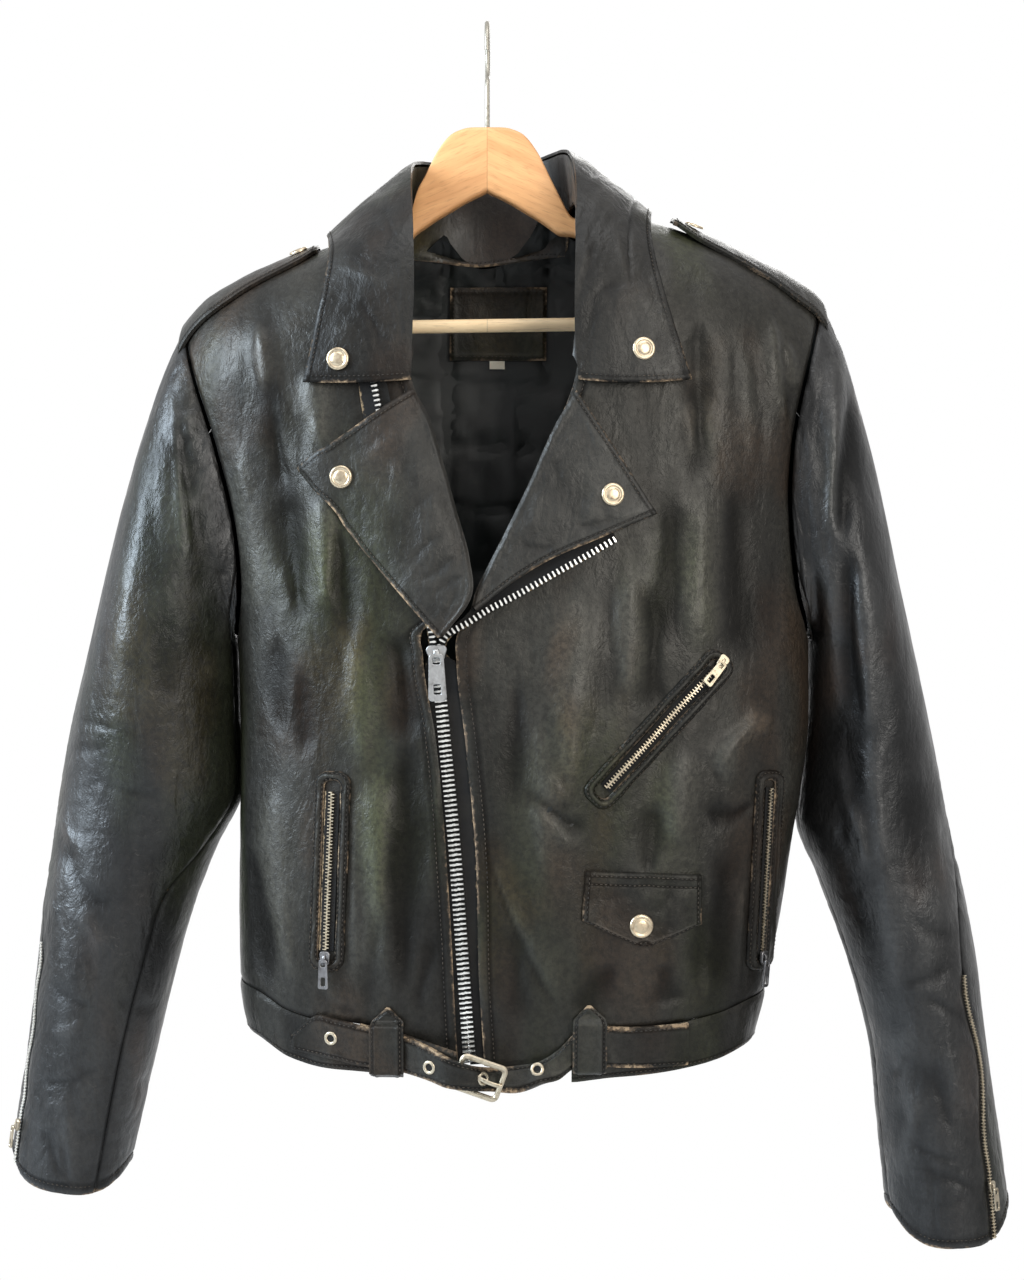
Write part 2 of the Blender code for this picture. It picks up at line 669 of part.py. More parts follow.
# ---------------------------------------------------------------- waistband and belt
BAND_START = {RIGHT: -57.0, LEFT: 59.0}
BAND_LIFT = 0.5
# Extra space above the waistband's ends, behind the belt loops: height, and how far along it fades
BAND_CLEAR = 1.6
BAND_CLEAR_REACH = 60.0
BODY_MIDDLE = 12.0


def band_grid(side, columns):
    f = np.linspace(0, 1, columns)[None, :]
    down = np.linspace(0, 1, 3)[:, None]
    z = np.full((3, columns), -720.0)
    for _ in range(20):
        outer = armhole_x(z, side)
        x = BAND_START[side] + (outer - BAND_START[side]) * (np.sin(f * math.pi / 2) * 0.8 + f * 0.2)
        fade = np.clip(1 - np.abs(x - BAND_START[side]) / BAND_CLEAR_REACH, 0, 1)
        top = HEM(x) - SEAM_GAP - BAND_CLEAR * fade
        z = top + (BAND_FOOT(x) - top) * down
    grid = on_body(x, z, BAND_LIFT)[::-1]
    grid[:, -1, 1] = -SIDE_GAP
    return grid if side == LEFT else grid[:, ::-1]


def make_waistband():
    for side in (RIGHT, LEFT):
        wall("waistband_" + SIDE_NAMES[side], band_grid(side, 10), DOUBLED, "leather")
    f = np.linspace(-1, 1, 17)[None, :]
    down = np.linspace(1, 0, 3)[:, None]
    z = np.full((3, 17), -710.0)
    for _ in range(20):
        share = np.sign(f) * (np.sin(np.abs(f) * math.pi / 2) * 0.8 + np.abs(f) * 0.2)
        half = np.where(share < 0, BODY_MIDDLE - armhole_x(z, RIGHT), armhole_x(z, LEFT) - BODY_MIDDLE)
        x = BODY_MIDDLE + half * share
        z = BACK_HEM(x) - SEAM_GAP - WAISTBAND * down
    grid = on_body(x, z, BAND_LIFT, BACK)
    grid[:, 0, 1] = SIDE_GAP
    grid[:, -1, 1] = SIDE_GAP
    wall("waistband_back", grid[:, ::-1], DOUBLED, "leather")


# Belt from its tip, over the buckle's left bar and under its right one, to its sewn end:
# x, top, bottom, lift of the top, lift of the bottom
BELT = smooth([
    (-134, -721, -731, 4.4, 4.4), (-116, -706, -734, 4.4, 4.4), (-102, -708, -736, 5.6, 5.6),
    (-90, -710, -738, 7.0, 7.0),
    (-75, -713, -740, 7.2, 7.2), (-55, -718, -743, 7.4, 8), (-40, -722.5, -745.5, 13.5, 14.5),
    (-27, -727, -748, 21.4, 22),
    (-11, -732.5, -750, 21.4, 22), (4, -738, -753, 9, 14.6), (22, -738, -753, 4.4, 15),
    (37, -735, -748, 4.2, 14),
    (50, -727, -747, 4.2, 9), (61, -717, -741, 4.2, 4.4), (72, -713, -740, 4.2, 4.2),
    (100, -713, -741, 4.2, 4.2),
    (139, -711.5, -741, 4.2, 4.2),
])
# Strap that holds the buckle, under the belt
HOLDER = smooth([
    (-90, -710, -738, 3.9, 3.9), (-75, -713, -740, 4.0, 4.0), (-55, -718, -743, 4.0, 4.7),
    (-18, -729.5, -749, 4.0, 11),
])
BUCKLE_STRAP = (-86, -20)
# Belt loops from the point down: height, half width, lift
LOOP = [
    (0, 1.2, 3.6), (5, 6.5, 3.6), (8.5, 11, 4.0), (11.5, 11.5, 7.6), (24, 11.5, 7.6), (44, 11.5, 7.6),
    (48, 10.5, 3.6),
]
LOOPS = {RIGHT: (-67, -699.5, 3.1), LEFT: (71, -698, 0.0)}


def ribbon_grid(line, columns, rows=3):
    """Outer points of a strap from its table of edges, the bottom row first."""
    x = np.array(columns, float)[None, :]
    top, bottom, top_lift, bottom_lift = line(x)
    up = np.linspace(0, 1, rows)[:, None]
    return on_body(x + 0 * up, bottom + (top - bottom) * up, bottom_lift + (top_lift - bottom_lift) * up)


def make_belt():
    stops = [-134, -116, -104, -92, -80, -66, -54, -40, -27, -11, 4, 14, 26, 38, 49, 60, 72, 86, 104, 122, 139]
    wall("belt_strap", ribbon_grid(BELT, stops), BELT_LEATHER, "leather")
    wall("belt_buckle_strap", ribbon_grid(HOLDER, np.linspace(*BUCKLE_STRAP, 7)), DOUBLED, "leather")
    for side in (RIGHT, LEFT):
        centre, top, raised = LOOPS[side]
        rows = np.array(LOOP)[::-1]
        across = np.linspace(-1, 1, 3)[None, :]
        x = centre + rows[:, 1:2] * across
        z = top - rows[:, :1] + 0 * across
        lift = rows[:, 2:] + np.where(rows[:, 2:] > 6, raised, 0) + 0 * across
        wall("belt_loop_" + SIDE_NAMES[side], on_body(x, z, lift), DOUBLED, "leather")


# Buckle: middle x and height, lift, width, height, bar, thickness, turn in degrees
BUCKLE = (-4, -742.5, 17.0, 34, 27, 3.4, 2.4, -20)
# Prong: length, width, thickness, how far its middle lies to the left of the buckle's
PRONG = (15, 3.0, 1.8, 8.5)


def make_buckle():
    x, z, lift, width, height, bar, thick, turn = BUCKLE
    normal = body_normal(x, z)
    side, up, out = frame_at(normal)
    angle = math.radians(turn)
    tilted = (side * math.cos(angle) + up * math.sin(angle), up * math.cos(angle) - side * math.sin(angle), out)
    centre = on_body(x, z, lift)
    outer = rounded(width, height, 5)
    inner = rounded(width - 2 * bar, height - 2 * bar, 3)
    points, faces = framed_plate(outer, inner, (-thick / 2, thick / 2), centre, tilted)
    node("buckle_frame", points, faces, "nickel")
    length, breadth, depth, shift = PRONG
    start = thick / 2 + SEAM_GAP
    points, faces = prism(rounded(length, breadth, 1.2, 2), (start, start + depth), centre + tilted[0] * shift, tilted)
    node("buckle_prong", points, faces, "nickel")


# ---------------------------------------------------------------- zips
# Zip halves from the hem up: x and height of the bead's middle, tape width right and left of it, lift of the tape
ZIP_PATH = {
    RIGHT: [
        (-13.6, -739, 8, 0.2, -3.4), (-14.6, -724, 11, 0.2, -3.4), (-19.6, -650, 12, 0.2, -3.4),
        (-24.6, -580, 12, 0.2, -3.4),
        (-30.6, -516, 8, 0.2, -3.4), (-35.2, -464, 4, 0.2, -3.4), (-35.8, -456, 0.6, 0.2, -3.0),
        (-36.6, -447, 0.3, 0.3, -0.4), (-38, -438, 0.3, 0.3, 0.9), (-42, -422, 4, 0.3, 0.9),
        (-55, -365, 9, 4, 0.7), (-65, -325, 9, 7, 0.7), (-74, -287, 9, 7, 0.7), (-80, -256, 7, 7, 0.7),
    ],
    LEFT: [
        (-8.4, -740, 0.2, 6, -3.4), (-9.4, -724, 0.2, 6, -3.4), (-14.4, -650, 0.2, 8, -3.4),
        (-19.4, -580, 0.2, 10, -3.4),
        (-25.4, -516, 0.2, 10, -3.4), (-30.0, -464, 0.2, 8, -3.4), (-30.4, -457, 0.2, 0.6, -3.0),
        (-29.5, -450, 0.3, 0.3, -0.9), (-24, -442.5, 0.3, 0.3, 0.9), (-13, -436, 2, 0.3, 0.9),
        (1, -427, 6, 0.3, 0.9),
        (21, -416.5, 8, 0.3, 0.9), (43, -404, 8, 0.3, 0.9), (67, -390.5, 8, 0.3, 0.9),
        (89, -377.5, 8, 0.3, 0.9),
    ],
}
TAPE = 0.9
BEAD_HALF = 2.2
BEAD_RISE = 4.2
# Slider of the front zip: x, height, lift
MAIN_SLIDER = (-33, -456.5, 3.4)


def zip_strip(name, path, rows):
    """A tape with the bar of its teeth, swept along its path over the front."""
    path = along(path, rows)
    x, z, right, left, base = path.T
    ahead = unit(np.stack([np.gradient(x), np.gradient(z)], axis=-1))
    across = np.stack([ahead[:, 1], -ahead[:, 0]], axis=-1)
    profile = [
        (-BEAD_HALF - right, 0), (BEAD_HALF + left, 0), (BEAD_HALF + left, TAPE), (BEAD_HALF, TAPE),
        (BEAD_HALF, BEAD_RISE), (-BEAD_HALF, BEAD_RISE), (-BEAD_HALF, TAPE), (-BEAD_HALF - right, TAPE),
    ]
    rings = [
        on_body(x + across[:, 0] * offset, z + across[:, 1] * offset, base + rise)
        for offset, rise in [(np.broadcast_to(o, x.shape), r) for o, r in profile]
    ]
    points = np.stack(rings, axis=1).reshape(-1, 3)
    node(name, points, tube_faces(rows, len(profile)), "tape")


# Sliders and pulls: x, height, lift of the slider's back, turn of the hanging pull in degrees, sizes in SLIDER_SIZES
SLIDER_SIZES = {
    # width, height, thickness; pull width, length, thickness, window width, window height
    "main": (14, 10.5, 4.2, 12.5, 32, 1.6, 5, 7),
    "pocket": (7.5, 9.5, 3.2, 7.5, 20, 1.3, 3.2, 6),
    "cuff": (6.5, 8.5, 3.0, 5.5, 16, 1.2, 2.2, 5),
}


# Metal past the pivot of a pull, and the space under it there
PULL_EYE = 1.3
PULL_CLEAR = 0.85


def slider_and_pull(name, size, centre, frame):
    """A slider on its chain and the pull that hinges at its lower end."""
    width, height, thick, pull_width, pull_length, pull_thick, window_width, window_height = SLIDER_SIZES[size]
    side, up, out = frame
    points, faces = prism(rounded(width, height, 2.2, 2), (0, thick), centre, frame)
    node(name + "_slider", points, faces, "nickel")
    hinge = centre + out * (thick + pull_thick / 2 + PULL_CLEAR) - up * height * 0.2
    middle = hinge - up * (pull_length / 2 - PULL_EYE)
    outer = rounded(pull_width, pull_length, 1.8, 2)
    inner = [(x, y - pull_length * 0.27) for x, y in rounded(window_width, window_height, 0.8, 2)]
    points, faces = framed_plate(outer, inner, (-pull_thick / 2, pull_thick / 2), middle, frame)
    node(name + "_pull", points, faces, "nickel", hinge)


def make_front_zip():
    for side in (RIGHT, LEFT):
        zip_strip("zip_" + SIDE_NAMES[side], ZIP_PATH[side], 29)
    place = np.array(MAIN_SLIDER, float)
    slider_and_pull("zip", "main", on_body(*place), frame_at(body_normal(*place[:2]), (-0.04, 0, 1)))


# ---------------------------------------------------------------- pockets
# Zipped pockets: x and height of the top end, x and height of the bottom end, welt half width
POCKETS = {
    "hand_right": (-104.5, -537, -110, -676, 13.0),
    "hand_left": (198, -538, 191.5, -680, 11.0),
    "chest": (166, -458, 72, -559, 12.5),
}
# Where each pocket's slider stands, as a share down the pocket
SLIDER_AT = {"hand_right": 0.93, "hand_left": 0.93, "chest": 0.045}
WELT = 1.6
WELT_RIM = 7.6


def racetrack(start, end, half, steps=7):
    """Points round a segment at an even distance, its ends with rounded corners."""
    start, end = np.array(start, float), np.array(end, float)
    down = (end - start) / np.linalg.norm(end - start)
    across = np.array([-down[1], down[0]])
    corner = half * 0.75
    points = []
    for near, far, sign in ((start, end, 1), (end, start, -1)):
        direction = down * sign
        sideways = across * sign
        for t in np.linspace(0.04, 0.96, steps):
            points.append(near + (far - near) * t + sideways * half)
        for angle in (20, 55, 90):
            turn = math.radians(angle)
            points.append(
                far + direction * (half - corner + corner * math.sin(turn))
                + sideways * (half - corner + corner * math.cos(turn))
            )
        points.append(far + direction * half - sideways * (half - corner))
    return np.array(points)


def welt(name, start, end, half):
    outer = racetrack(start, end, half)
    inner = racetrack(start, end, half - WELT_RIM)
    size = len(outer)
    loops = []
    for lift in (LAY_GAP + 0.45, LAY_GAP + 0.45 + WELT):
        for outline in (outer, inner):
            loops.append(on_body(outline[:, 0], outline[:, 1], np.full(size, lift)))
    faces = []
    for j in range(size):
        k = (j + 1) % size
        faces.append((k, j, size + j, size + k))
        faces.append((2 * size + j, 2 * size + k, 3 * size + k, 3 * size + j))
        faces.append((j, k, 2 * size + k, 2 * size + j))
        faces.append((size + k, size + j, 3 * size + j, 3 * size + k))
    node(name, np.concatenate(loops), faces, "leather")


# How far the zip keeps from the ends of its pocket, in half widths of the welt
ZIP_INSET = 1.21


def make_pockets():
    for name, (x1, z1, x2, z2, half) in POCKETS.items():
        start, end = np.array((x1, z1), float), np.array((x2, z2), float)
        down = (end - start) / np.linalg.norm(end - start)
        welt(name + "_welt", start + down * half, end - down * half, half)
        width = half - WELT_RIM - 2.8 * SEAM_GAP
        t = np.linspace(0, 1, 9)[:, None]
        s = np.linspace(-1, 1, 3)[None, :]
        first, last = start + down * half * ZIP_INSET, end - down * half * ZIP_INSET
        across = np.array([-down[1], down[0]])
        x = last[0] + (first[0] - last[0]) * t + across[0] * s * width
        z = last[1] + (first[1] - last[1]) * t + across[1] * s * width
        wall(name + "_zip", on_body(x, z, 0 * x + LAY_GAP + 1.6), 1.3, "tape")
        at = start + (end - start) * SLIDER_AT[name]
        up = (0, 0, 1) if name != "chest" else (-down[0], 0, -down[1])
        frame = frame_at(body_normal(*at), up)
        slider_and_pull(name, "pocket", on_body(at[0], at[1], LAY_GAP + WELT + 0.25 + SEAM_GAP), frame)


# Coin flap: height of its top edge at its right end, slope; rows: distance below it, x of the right and left edges
FLAP_TOP = -605.0
FLAP_SLOPE = -0.05
FLAP = [(0, 68, 148), (20, 66.5, 148), (34, 65.5, 148), (42, 84, 131), (50, 104, 112)]
FLAP_LIFT = DOUBLED + LAY_GAP + 0.2


def make_flap():
    rows = np.array(FLAP, float)[::-1]
    s = np.linspace(0, 1, 7)[None, :]
    x = rows[:, 1:2] + (rows[:, 2:3] - rows[:, 1:2]) * s
    z = FLAP_TOP - rows[:, :1] + FLAP_SLOPE * (x - FLAP[0][1])
    wall("coin_flap", on_body(x, z, 0 * x + FLAP_LIFT), DOUBLED, "leather")


# ---------------------------------------------------------------- cuff zips
def make_cuff_zips():
    for side in (RIGHT, LEFT):
        grid = []
        for height in sleeve_rows(side)[-6:]:
            _, seam = SEAMS[side](-height)
            inner, outer, _, depth = SLEEVES[side](-height)
            around = math.pi * ((outer - inner) * side / 2 + depth)
            half = (CHAIN_HALF - 0.9) / around
            grid.append(sleeve_ring(side, -height, np.linspace(seam - half, seam + half, 3)))
        grid = np.array(grid)
        grid = grid if side == RIGHT else grid[:, ::-1]
        name = "cuff_" + SIDE_NAMES[side]
        wall(name + "_zip", grid, 1.8, "tape")
        outward = grid_normals(grid)[-2, 1]
        slider_and_pull(name, "cuff", grid[-2, 1] + outward * SEAM_GAP, frame_at(outward))


# ---------------------------------------------------------------- snaps
# Dome: distance from the middle and height, as shares of the radius
DOME = [(1.0, 0.0), (1.0, 0.10), (0.93, 0.22), (0.70, 0.33), (0.35, 0.38)]


def snap(name, centre, normal, radius, sides=14):
    side, up, out = frame_at(normal)
    points = []
    for share, rise in DOME:
        for j in range(sides):
            angle = 2 * math.pi * j / sides
            spread = side * math.cos(angle) + up * math.sin(angle)
            points.append(centre + spread * radius * share + out * radius * rise)
    node(name, points, tube_faces(len(DOME), sides), "nickel")


def nearest_normal(grid, target):
    """The point of a grid nearest to a place, level with it, and the normal there."""
    normals = grid_normals(grid)
    away = np.linalg.norm(grid - target, axis=-1)
    i, j = np.unravel_index(np.argmin(away), away.shape)
    normal = normals[i, j]
    return target + normal * np.dot(grid[i, j] - target, normal), normal


FLAP_SNAP = (106, -643)


def make_snaps():
    fall = collar_grid(25, 80)[:, ::-1]
    for side, place in ((RIGHT, (-101, -92, -255)), (LEFT, (108, -92, -248))):
        point, normal = nearest_normal(fall, np.array(place, float))
        snap("snap_collar_" + SIDE_NAMES[side], point + normal * SEAM_GAP, normal, 7.9)
    for side, place in ((RIGHT, (-99, -96, -336)), (LEFT, (87, -96, -348))):
        point, normal = nearest_normal(lapel_grid(side, 60, 40), np.array(place, float))
        snap("snap_lapel_" + SIDE_NAMES[side], point + normal * SEAM_GAP, normal, 7.9)
    for side, x, lift in ((RIGHT, -134, 4.3), (LEFT, 147, 6.4)):
        point = on_shoulder(x, -19.0, lift + SEAM_GAP)
        normal = unit(on_shoulder(x, -19.0, 2.0) - on_shoulder(x, -19.0, 0.0))
        snap("snap_epaulette_" + SIDE_NAMES[side], point, normal, 6.8)
    point = on_body(*FLAP_SNAP, FLAP_LIFT + SEAM_GAP)
    snap("snap_coin_flap", point, body_normal(*FLAP_SNAP), 8.2)


# ---------------------------------------------------------------- label
LABEL = (-29, 44, -179.5, -236.5)
TAG = (1, 12, -237.0, -243.0)


def inside_plate(name, place, lift, thickness, material, columns, rows):
    left_x, right_x, top, bottom = place
    x = np.linspace(right_x, left_x, columns)[None, :]
    z = np.linspace(top, bottom, rows)[:, None]
    grid = on_body(x + 0 * z, z + 0 * x, 0 * x + 0 * z + lift, BACK)
    wall(name, grid, thickness, material)


def make_label():
    behind = LEATHER + LINING_GAP + LINING + LAY_GAP + 2.6
    inside_plate("label_patch", LABEL, -behind - LEATHER, LEATHER, "leather", 6, 5)
    inside_plate("size_tab", TAG, -behind - TAPE, TAPE, "tag", 3, 2)


# ---------------------------------------------------------------- hanger
ARM_DROP = 4.2
# Wood from the middle out: distance, top, bottom, half thickness
CREST = [
    (0, -74, -121, 6.5), (18, -75.5, -130, 6.5), (27, -80, -135.5, 6.5), (37, -93, -141.5, 6.5),
    (45, -109, -147, 6.5), (52, -123, -152, 6.5),
]
# Arms: distance from the middle, height of the wood, half thickness
ARM = {
    RIGHT: [(76, 22, 6.5), (109, 21, 7), (150, 18, 7.5), (193, 13.5, 8)],
    LEFT: [(76, 22, 6.5), (112, 22, 7), (158, 21, 7.5), (215, 19.6, 8)],
}
# Where the wood dips under the collar: distance, top, bottom
DIP = {RIGHT: (58.5, -149, -160), LEFT: (61, -139, -153)}
TIP = {RIGHT: (211, 22, 8), LEFT: (235, 22, 8)}
BAR_RADIUS = 4.9
BAR_BELOW = 6.5
STEP = 0.4


def wood_ring(x, top, bottom, half):
    soft = 3.5
    corners = [(-half, bottom + soft), (-half + soft, bottom), (half - soft, bottom), (half, bottom + soft)]
    corners += [(half, top - soft), (half - soft, top), (-half + soft, top), (-half, top - soft)]
    return [(x, y, z) for y, z in corners]


def make_hanger():
    rings = []
    for side in (RIGHT, LEFT):
        half = []
        for away, top, bottom, thick in CREST[1 if side == LEFT else 0:]:
            half.append(wood_ring(side * away, top, bottom, thick))
        away, top, bottom = DIP[side]
        half.append(wood_ring(side * away, top, bottom, CREST[0][3]))
        for away, tall, thick in ARM[side]:
            top = float(SHOULDER(side * away)) - ARM_DROP
            half.append(wood_ring(side * away, top, top - tall, thick))
        away, tall, thick = ARM[side][-1]
        foot = float(SHOULDER(side * away)) - ARM_DROP - tall
        top = float(SHOULDER(side * (away + STEP))) - ARM_DROP
        half.append(wood_ring(side * (away + STEP), top, foot - 17, thick))
        away, tall, thick = TIP[side]
        top = float(SHOULDER(side * away)) - ARM_DROP
        half.append(wood_ring(side * away, top, foot - 17, thick))
        rings = half[::-1] + rings if side == RIGHT else rings + half
    points = [point for ring in rings for point in ring]
    node("hanger_wood", points, tube_faces(len(rings), 8), "wood")
    ends = []
    for side in (RIGHT, LEFT):
        away, tall, _ = ARM[side][-1]
        foot = float(SHOULDER(side * away)) - ARM_DROP - tall
        ends.append(np.array([side * (away - STEP), 0, foot - BAR_BELOW]))
    direction = unit(ends[1] - ends[0])
    side, up, out = frame_at(direction, (0, 1, 0))
    outline = [(BAR_RADIUS * math.cos(a), BAR_RADIUS * math.sin(a)) for a in np.linspace(0, 2 * math.pi, 13)[:-1]]
    points, faces = prism(outline, (0, np.linalg.norm(ends[1] - ends[0])), ends[0], (side, up, out))
    node("hanger_bar", points, faces, "wood")
    make_hook()


HOOK_WIRE = 1.8
HOOK_BEND = 18.0
HOOK_FOOT = -73.6


def make_hook():
    middle = -HOOK_BEND
    centre_line = HOOK_BEND + HOOK_WIRE
    path = [
        (0.0, HOOK_FOOT), (0.0, -58.0), (0.0, middle - centre_line - 6.0),
        (1.2, middle - centre_line - 1.5),
    ]
    for degrees in range(-75, 196, 15):
        angle = math.radians(degrees)
        path.append((centre_line * math.cos(angle), middle + centre_line * math.sin(angle)))
    path = np.array(path)
    ahead = unit(np.gradient(path, axis=0))
    points = []
    for (y, z), (ty, tz) in zip(path, ahead):
        for j in range(8):
            angle = math.pi / 8 + math.pi / 4 * j
            x = HOOK_WIRE * math.cos(angle)
            spread = HOOK_WIRE * math.sin(angle)
            points.append((x, y - tz * spread, z + ty * spread))
    node("hanger_hook", points, tube_faces(len(path), 8), "steel")


# ---------------------------------------------------------------- build
def clear_scene():
    for obj in list(bpy.data.objects):
        bpy.data.objects.remove(obj, do_unlink=True)


clear_scene()
make_body()
make_sleeves()
make_collar()
make_lapels()
make_straps()
make_waistband()
make_belt()
make_buckle()
make_front_zip()
make_pockets()
make_flap()
make_cuff_zips()
make_snaps()
make_label()
make_hanger()
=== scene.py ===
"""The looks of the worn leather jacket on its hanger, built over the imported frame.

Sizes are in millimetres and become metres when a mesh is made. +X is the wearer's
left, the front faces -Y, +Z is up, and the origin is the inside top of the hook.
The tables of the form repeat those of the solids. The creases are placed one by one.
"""

import json
import math

import bmesh
import bpy
import numpy as np
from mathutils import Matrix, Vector
from mathutils.geometry import tessellate_polygon

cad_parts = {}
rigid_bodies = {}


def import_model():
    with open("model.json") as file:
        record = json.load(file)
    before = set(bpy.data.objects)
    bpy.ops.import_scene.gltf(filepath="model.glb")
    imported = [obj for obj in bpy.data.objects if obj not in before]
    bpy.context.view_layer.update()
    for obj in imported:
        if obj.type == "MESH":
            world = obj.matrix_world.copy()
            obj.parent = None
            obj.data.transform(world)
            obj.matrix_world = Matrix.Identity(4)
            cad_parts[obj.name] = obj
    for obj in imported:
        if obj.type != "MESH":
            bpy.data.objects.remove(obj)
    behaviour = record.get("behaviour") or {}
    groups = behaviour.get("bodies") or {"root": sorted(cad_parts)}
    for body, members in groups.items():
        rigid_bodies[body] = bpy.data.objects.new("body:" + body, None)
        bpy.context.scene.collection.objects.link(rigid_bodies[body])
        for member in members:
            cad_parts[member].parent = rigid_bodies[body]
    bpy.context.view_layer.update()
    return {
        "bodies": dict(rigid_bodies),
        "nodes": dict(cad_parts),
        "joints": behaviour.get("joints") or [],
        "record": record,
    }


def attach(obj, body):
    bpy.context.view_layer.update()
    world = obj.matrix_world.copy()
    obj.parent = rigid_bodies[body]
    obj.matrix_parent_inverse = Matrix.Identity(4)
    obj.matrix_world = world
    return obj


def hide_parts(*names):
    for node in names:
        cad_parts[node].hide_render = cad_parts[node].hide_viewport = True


MM = 0.001
RIGHT, LEFT = -1, 1
FRONT, BACK = -1, 1
SIDE_NAMES = {RIGHT: "right", LEFT: "left"}
ROOT = "jacket_on_hanger"

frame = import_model()

# Walls of the cloth, and the gaps at seams, at the sides and below what lies on the cloth
LEATHER = 1.4
DOUBLED = 2.2
BELT_LEATHER = 2.6
LINING = 1.0
SEAM_GAP = 0.3
SIDE_GAP = 0.6
LAY_GAP = 0.55
LINING_GAP = 3.6
LINING_MIDDLE = 4.0
LINING_NARROWS = 0.47
NECK_GAP = 2.8
BACK_NECK_GAP = 4.4

# ---------------------------------------------------------------- small tools
def smooth(rows):
    """A smooth curve through rows of (key, value, ...), level past both ends."""
    table = np.array(sorted(rows), float)
    keys, values = table[:, 0], table[:, 1:]
    slopes = np.gradient(values, keys, axis=0)

    def at(key):
        key = np.clip(np.asarray(key, float), keys[0], keys[-1])
        i = np.clip(np.searchsorted(keys, key, side="right") - 1, 0, len(keys) - 2)
        step = keys[i + 1] - keys[i]
        t = (key - keys[i]) / step
        first = (1 + 2 * t) * (1 - t) ** 2
        last = t * t * (3 - 2 * t)
        leave = t * (1 - t) ** 2 * step
        arrive = t * t * (t - 1) * step
        found = [
            values[i, n] * first + values[i + 1, n] * last + slopes[i, n] * leave + slopes[i + 1, n] * arrive
            for n in range(values.shape[1])
        ]
        return found[0] if len(found) == 1 else found

    return at


def along(points, count):
    """Points at even steps along a smooth curve through the given points."""
    points = np.array(points, float)
    reach = np.r_[0, np.cumsum(np.linalg.norm(np.diff(points, axis=0), axis=1))]
    curve = smooth([(r, *p) for r, p in zip(reach, points)])
    return np.stack(curve(np.linspace(0, reach[-1], count)), axis=-1)


def unit(vectors):
    return vectors / np.maximum(np.linalg.norm(vectors, axis=-1, keepdims=True), 1e-9)


def grid_normals(grid):
    """Unit normals of a grid of points, from the lines to their neighbours."""
    across = np.gradient(grid, axis=1)
    up = np.gradient(grid, axis=0)
    return unit(np.cross(across, up))


def frame_at(normal, up=(0, 0, 1)):
    """Sideways, upward and outward directions on a surface that faces the normal."""
    normal = unit(np.asarray(normal, float))
    side = unit(np.cross(np.asarray(up, float), normal))
    return side, np.cross(normal, side), normal


def rounded(width, height, radius, arc=3):
    """A rectangle round its centre, its corners as arcs."""
    points = []
    for quarter, (sx, sy) in enumerate(((1, 1), (-1, 1), (-1, -1), (1, -1))):
        for step in range(arc + 1):
            angle = math.pi / 2 * (quarter + step / arc)
            points.append(
                (
                    sx * (width / 2 - radius) + radius * math.cos(angle),
                    sy * (height / 2 - radius) + radius * math.sin(angle),
                )
            )
    return points


# ---------------------------------------------------------------- the body's form
# Body sections: height, right edge x, left edge x, middle x, front depth, back depth, squareness
BODY = smooth([
    (-770, -164, 186, 12, 84, 68, 3.0),
    (-740, -168, 190, 12, 88, 70, 3.0),
    (-710, -176, 198, 12, 92, 72, 2.9),
    (-650, -179, 211, 12, 96, 74, 2.7),
    (-590, -179, 221, 12, 98, 74, 2.6),
    (-520, -179, 232, 12, 99, 72, 2.5),
    (-450, -181, 233, 10, 98, 69, 2.5),
    (-384, -190, 232, 8, 95, 66, 2.4),
    (-313, -212, 238, 6, 92, 63, 2.4),
    (-240, -238, 256, 5, 88, 61, 2.4),
    (-180, -252, 276, 5, 86, 60, 2.4),
])
# Armhole seam, as a share of the half width: height, share
ARMHOLE = smooth([(-450, 0.9995), (-419, 0.955), (-384, 0.93), (-349, 0.912), (-313, 0.903), (-240, 0.90),
                  (-200, 0.90)])
# Shoulder seam: x, height
SHOULDER = smooth([
    (-236, -246), (-226, -233), (-207, -208), (-179, -189), (-141, -172), (-109, -160), (-62, -141),
    (0, -131), (66, -129), (100, -139), (138, -150), (173, -163), (217, -186), (240, -203), (250, -217),
    (258, -232),
])
# Lower edge of the fronts, dipping between the belt loops: x, height
HEM = smooth([
    (-180, -690), (-157, -695), (-140, -704), (-126, -708), (-90, -711.7), (-74, -714.5), (-40, -729),
    (-20, -737), (0, -741),
    (25, -741), (45, -737), (66, -727), (88, -716.5), (112, -714), (144, -710), (165, -706), (181, -701),
    (200, -697),
])
# Lower edge of the waistband, in front: x, height
BAND_FOOT = smooth([
    (-180, -723.3), (-157, -728.3), (-140, -737.3), (-126, -741.3), (-74, -746.3), (-57, -749), (59, -752.3),
    (82, -749.3), (112, -747.3), (144, -743.3), (165, -739.3), (181, -734.3), (200, -730.3),
])
# Seam above the waistband, behind: x, height
BACK_HEM = smooth([(-180, -690), (-100, -700), (12, -704), (120, -702), (200, -697)])
# Inner edge of each front: height, x
EDGE = {
    RIGHT: smooth([
        (-742, -19), (-724, -20), (-625, -25), (-516, -34), (-457, -43), (-441, -43), (-428, -24),
        (-416, -12),
        (-393, -13), (-353, -22), (-319, -33), (-289, -43), (-272, -50), (-240, -56), (-200, -61),
        (-165, -63), (-141, -62),
    ]),
    LEFT: smooth([
        (-742, -1), (-724, -2), (-694, -4), (-591, -7), (-516, -14), (-462, -20), (-446, -20), (-430, -12),
        (-418, -7),
        (-385, 9), (-339, 31), (-302, 48), (-272, 60), (-240, 65), (-200, 69), (-165, 70), (-129, 66),
    ]),
}
NECK = {RIGHT: (-62, -141), LEFT: (66, -129)}
ROLL_OVER = {FRONT: 86.0, BACK: 72.0}
BACK_NECK_DROP = 34.0
ARMPIT = -450.0
WAISTBAND = 33.0

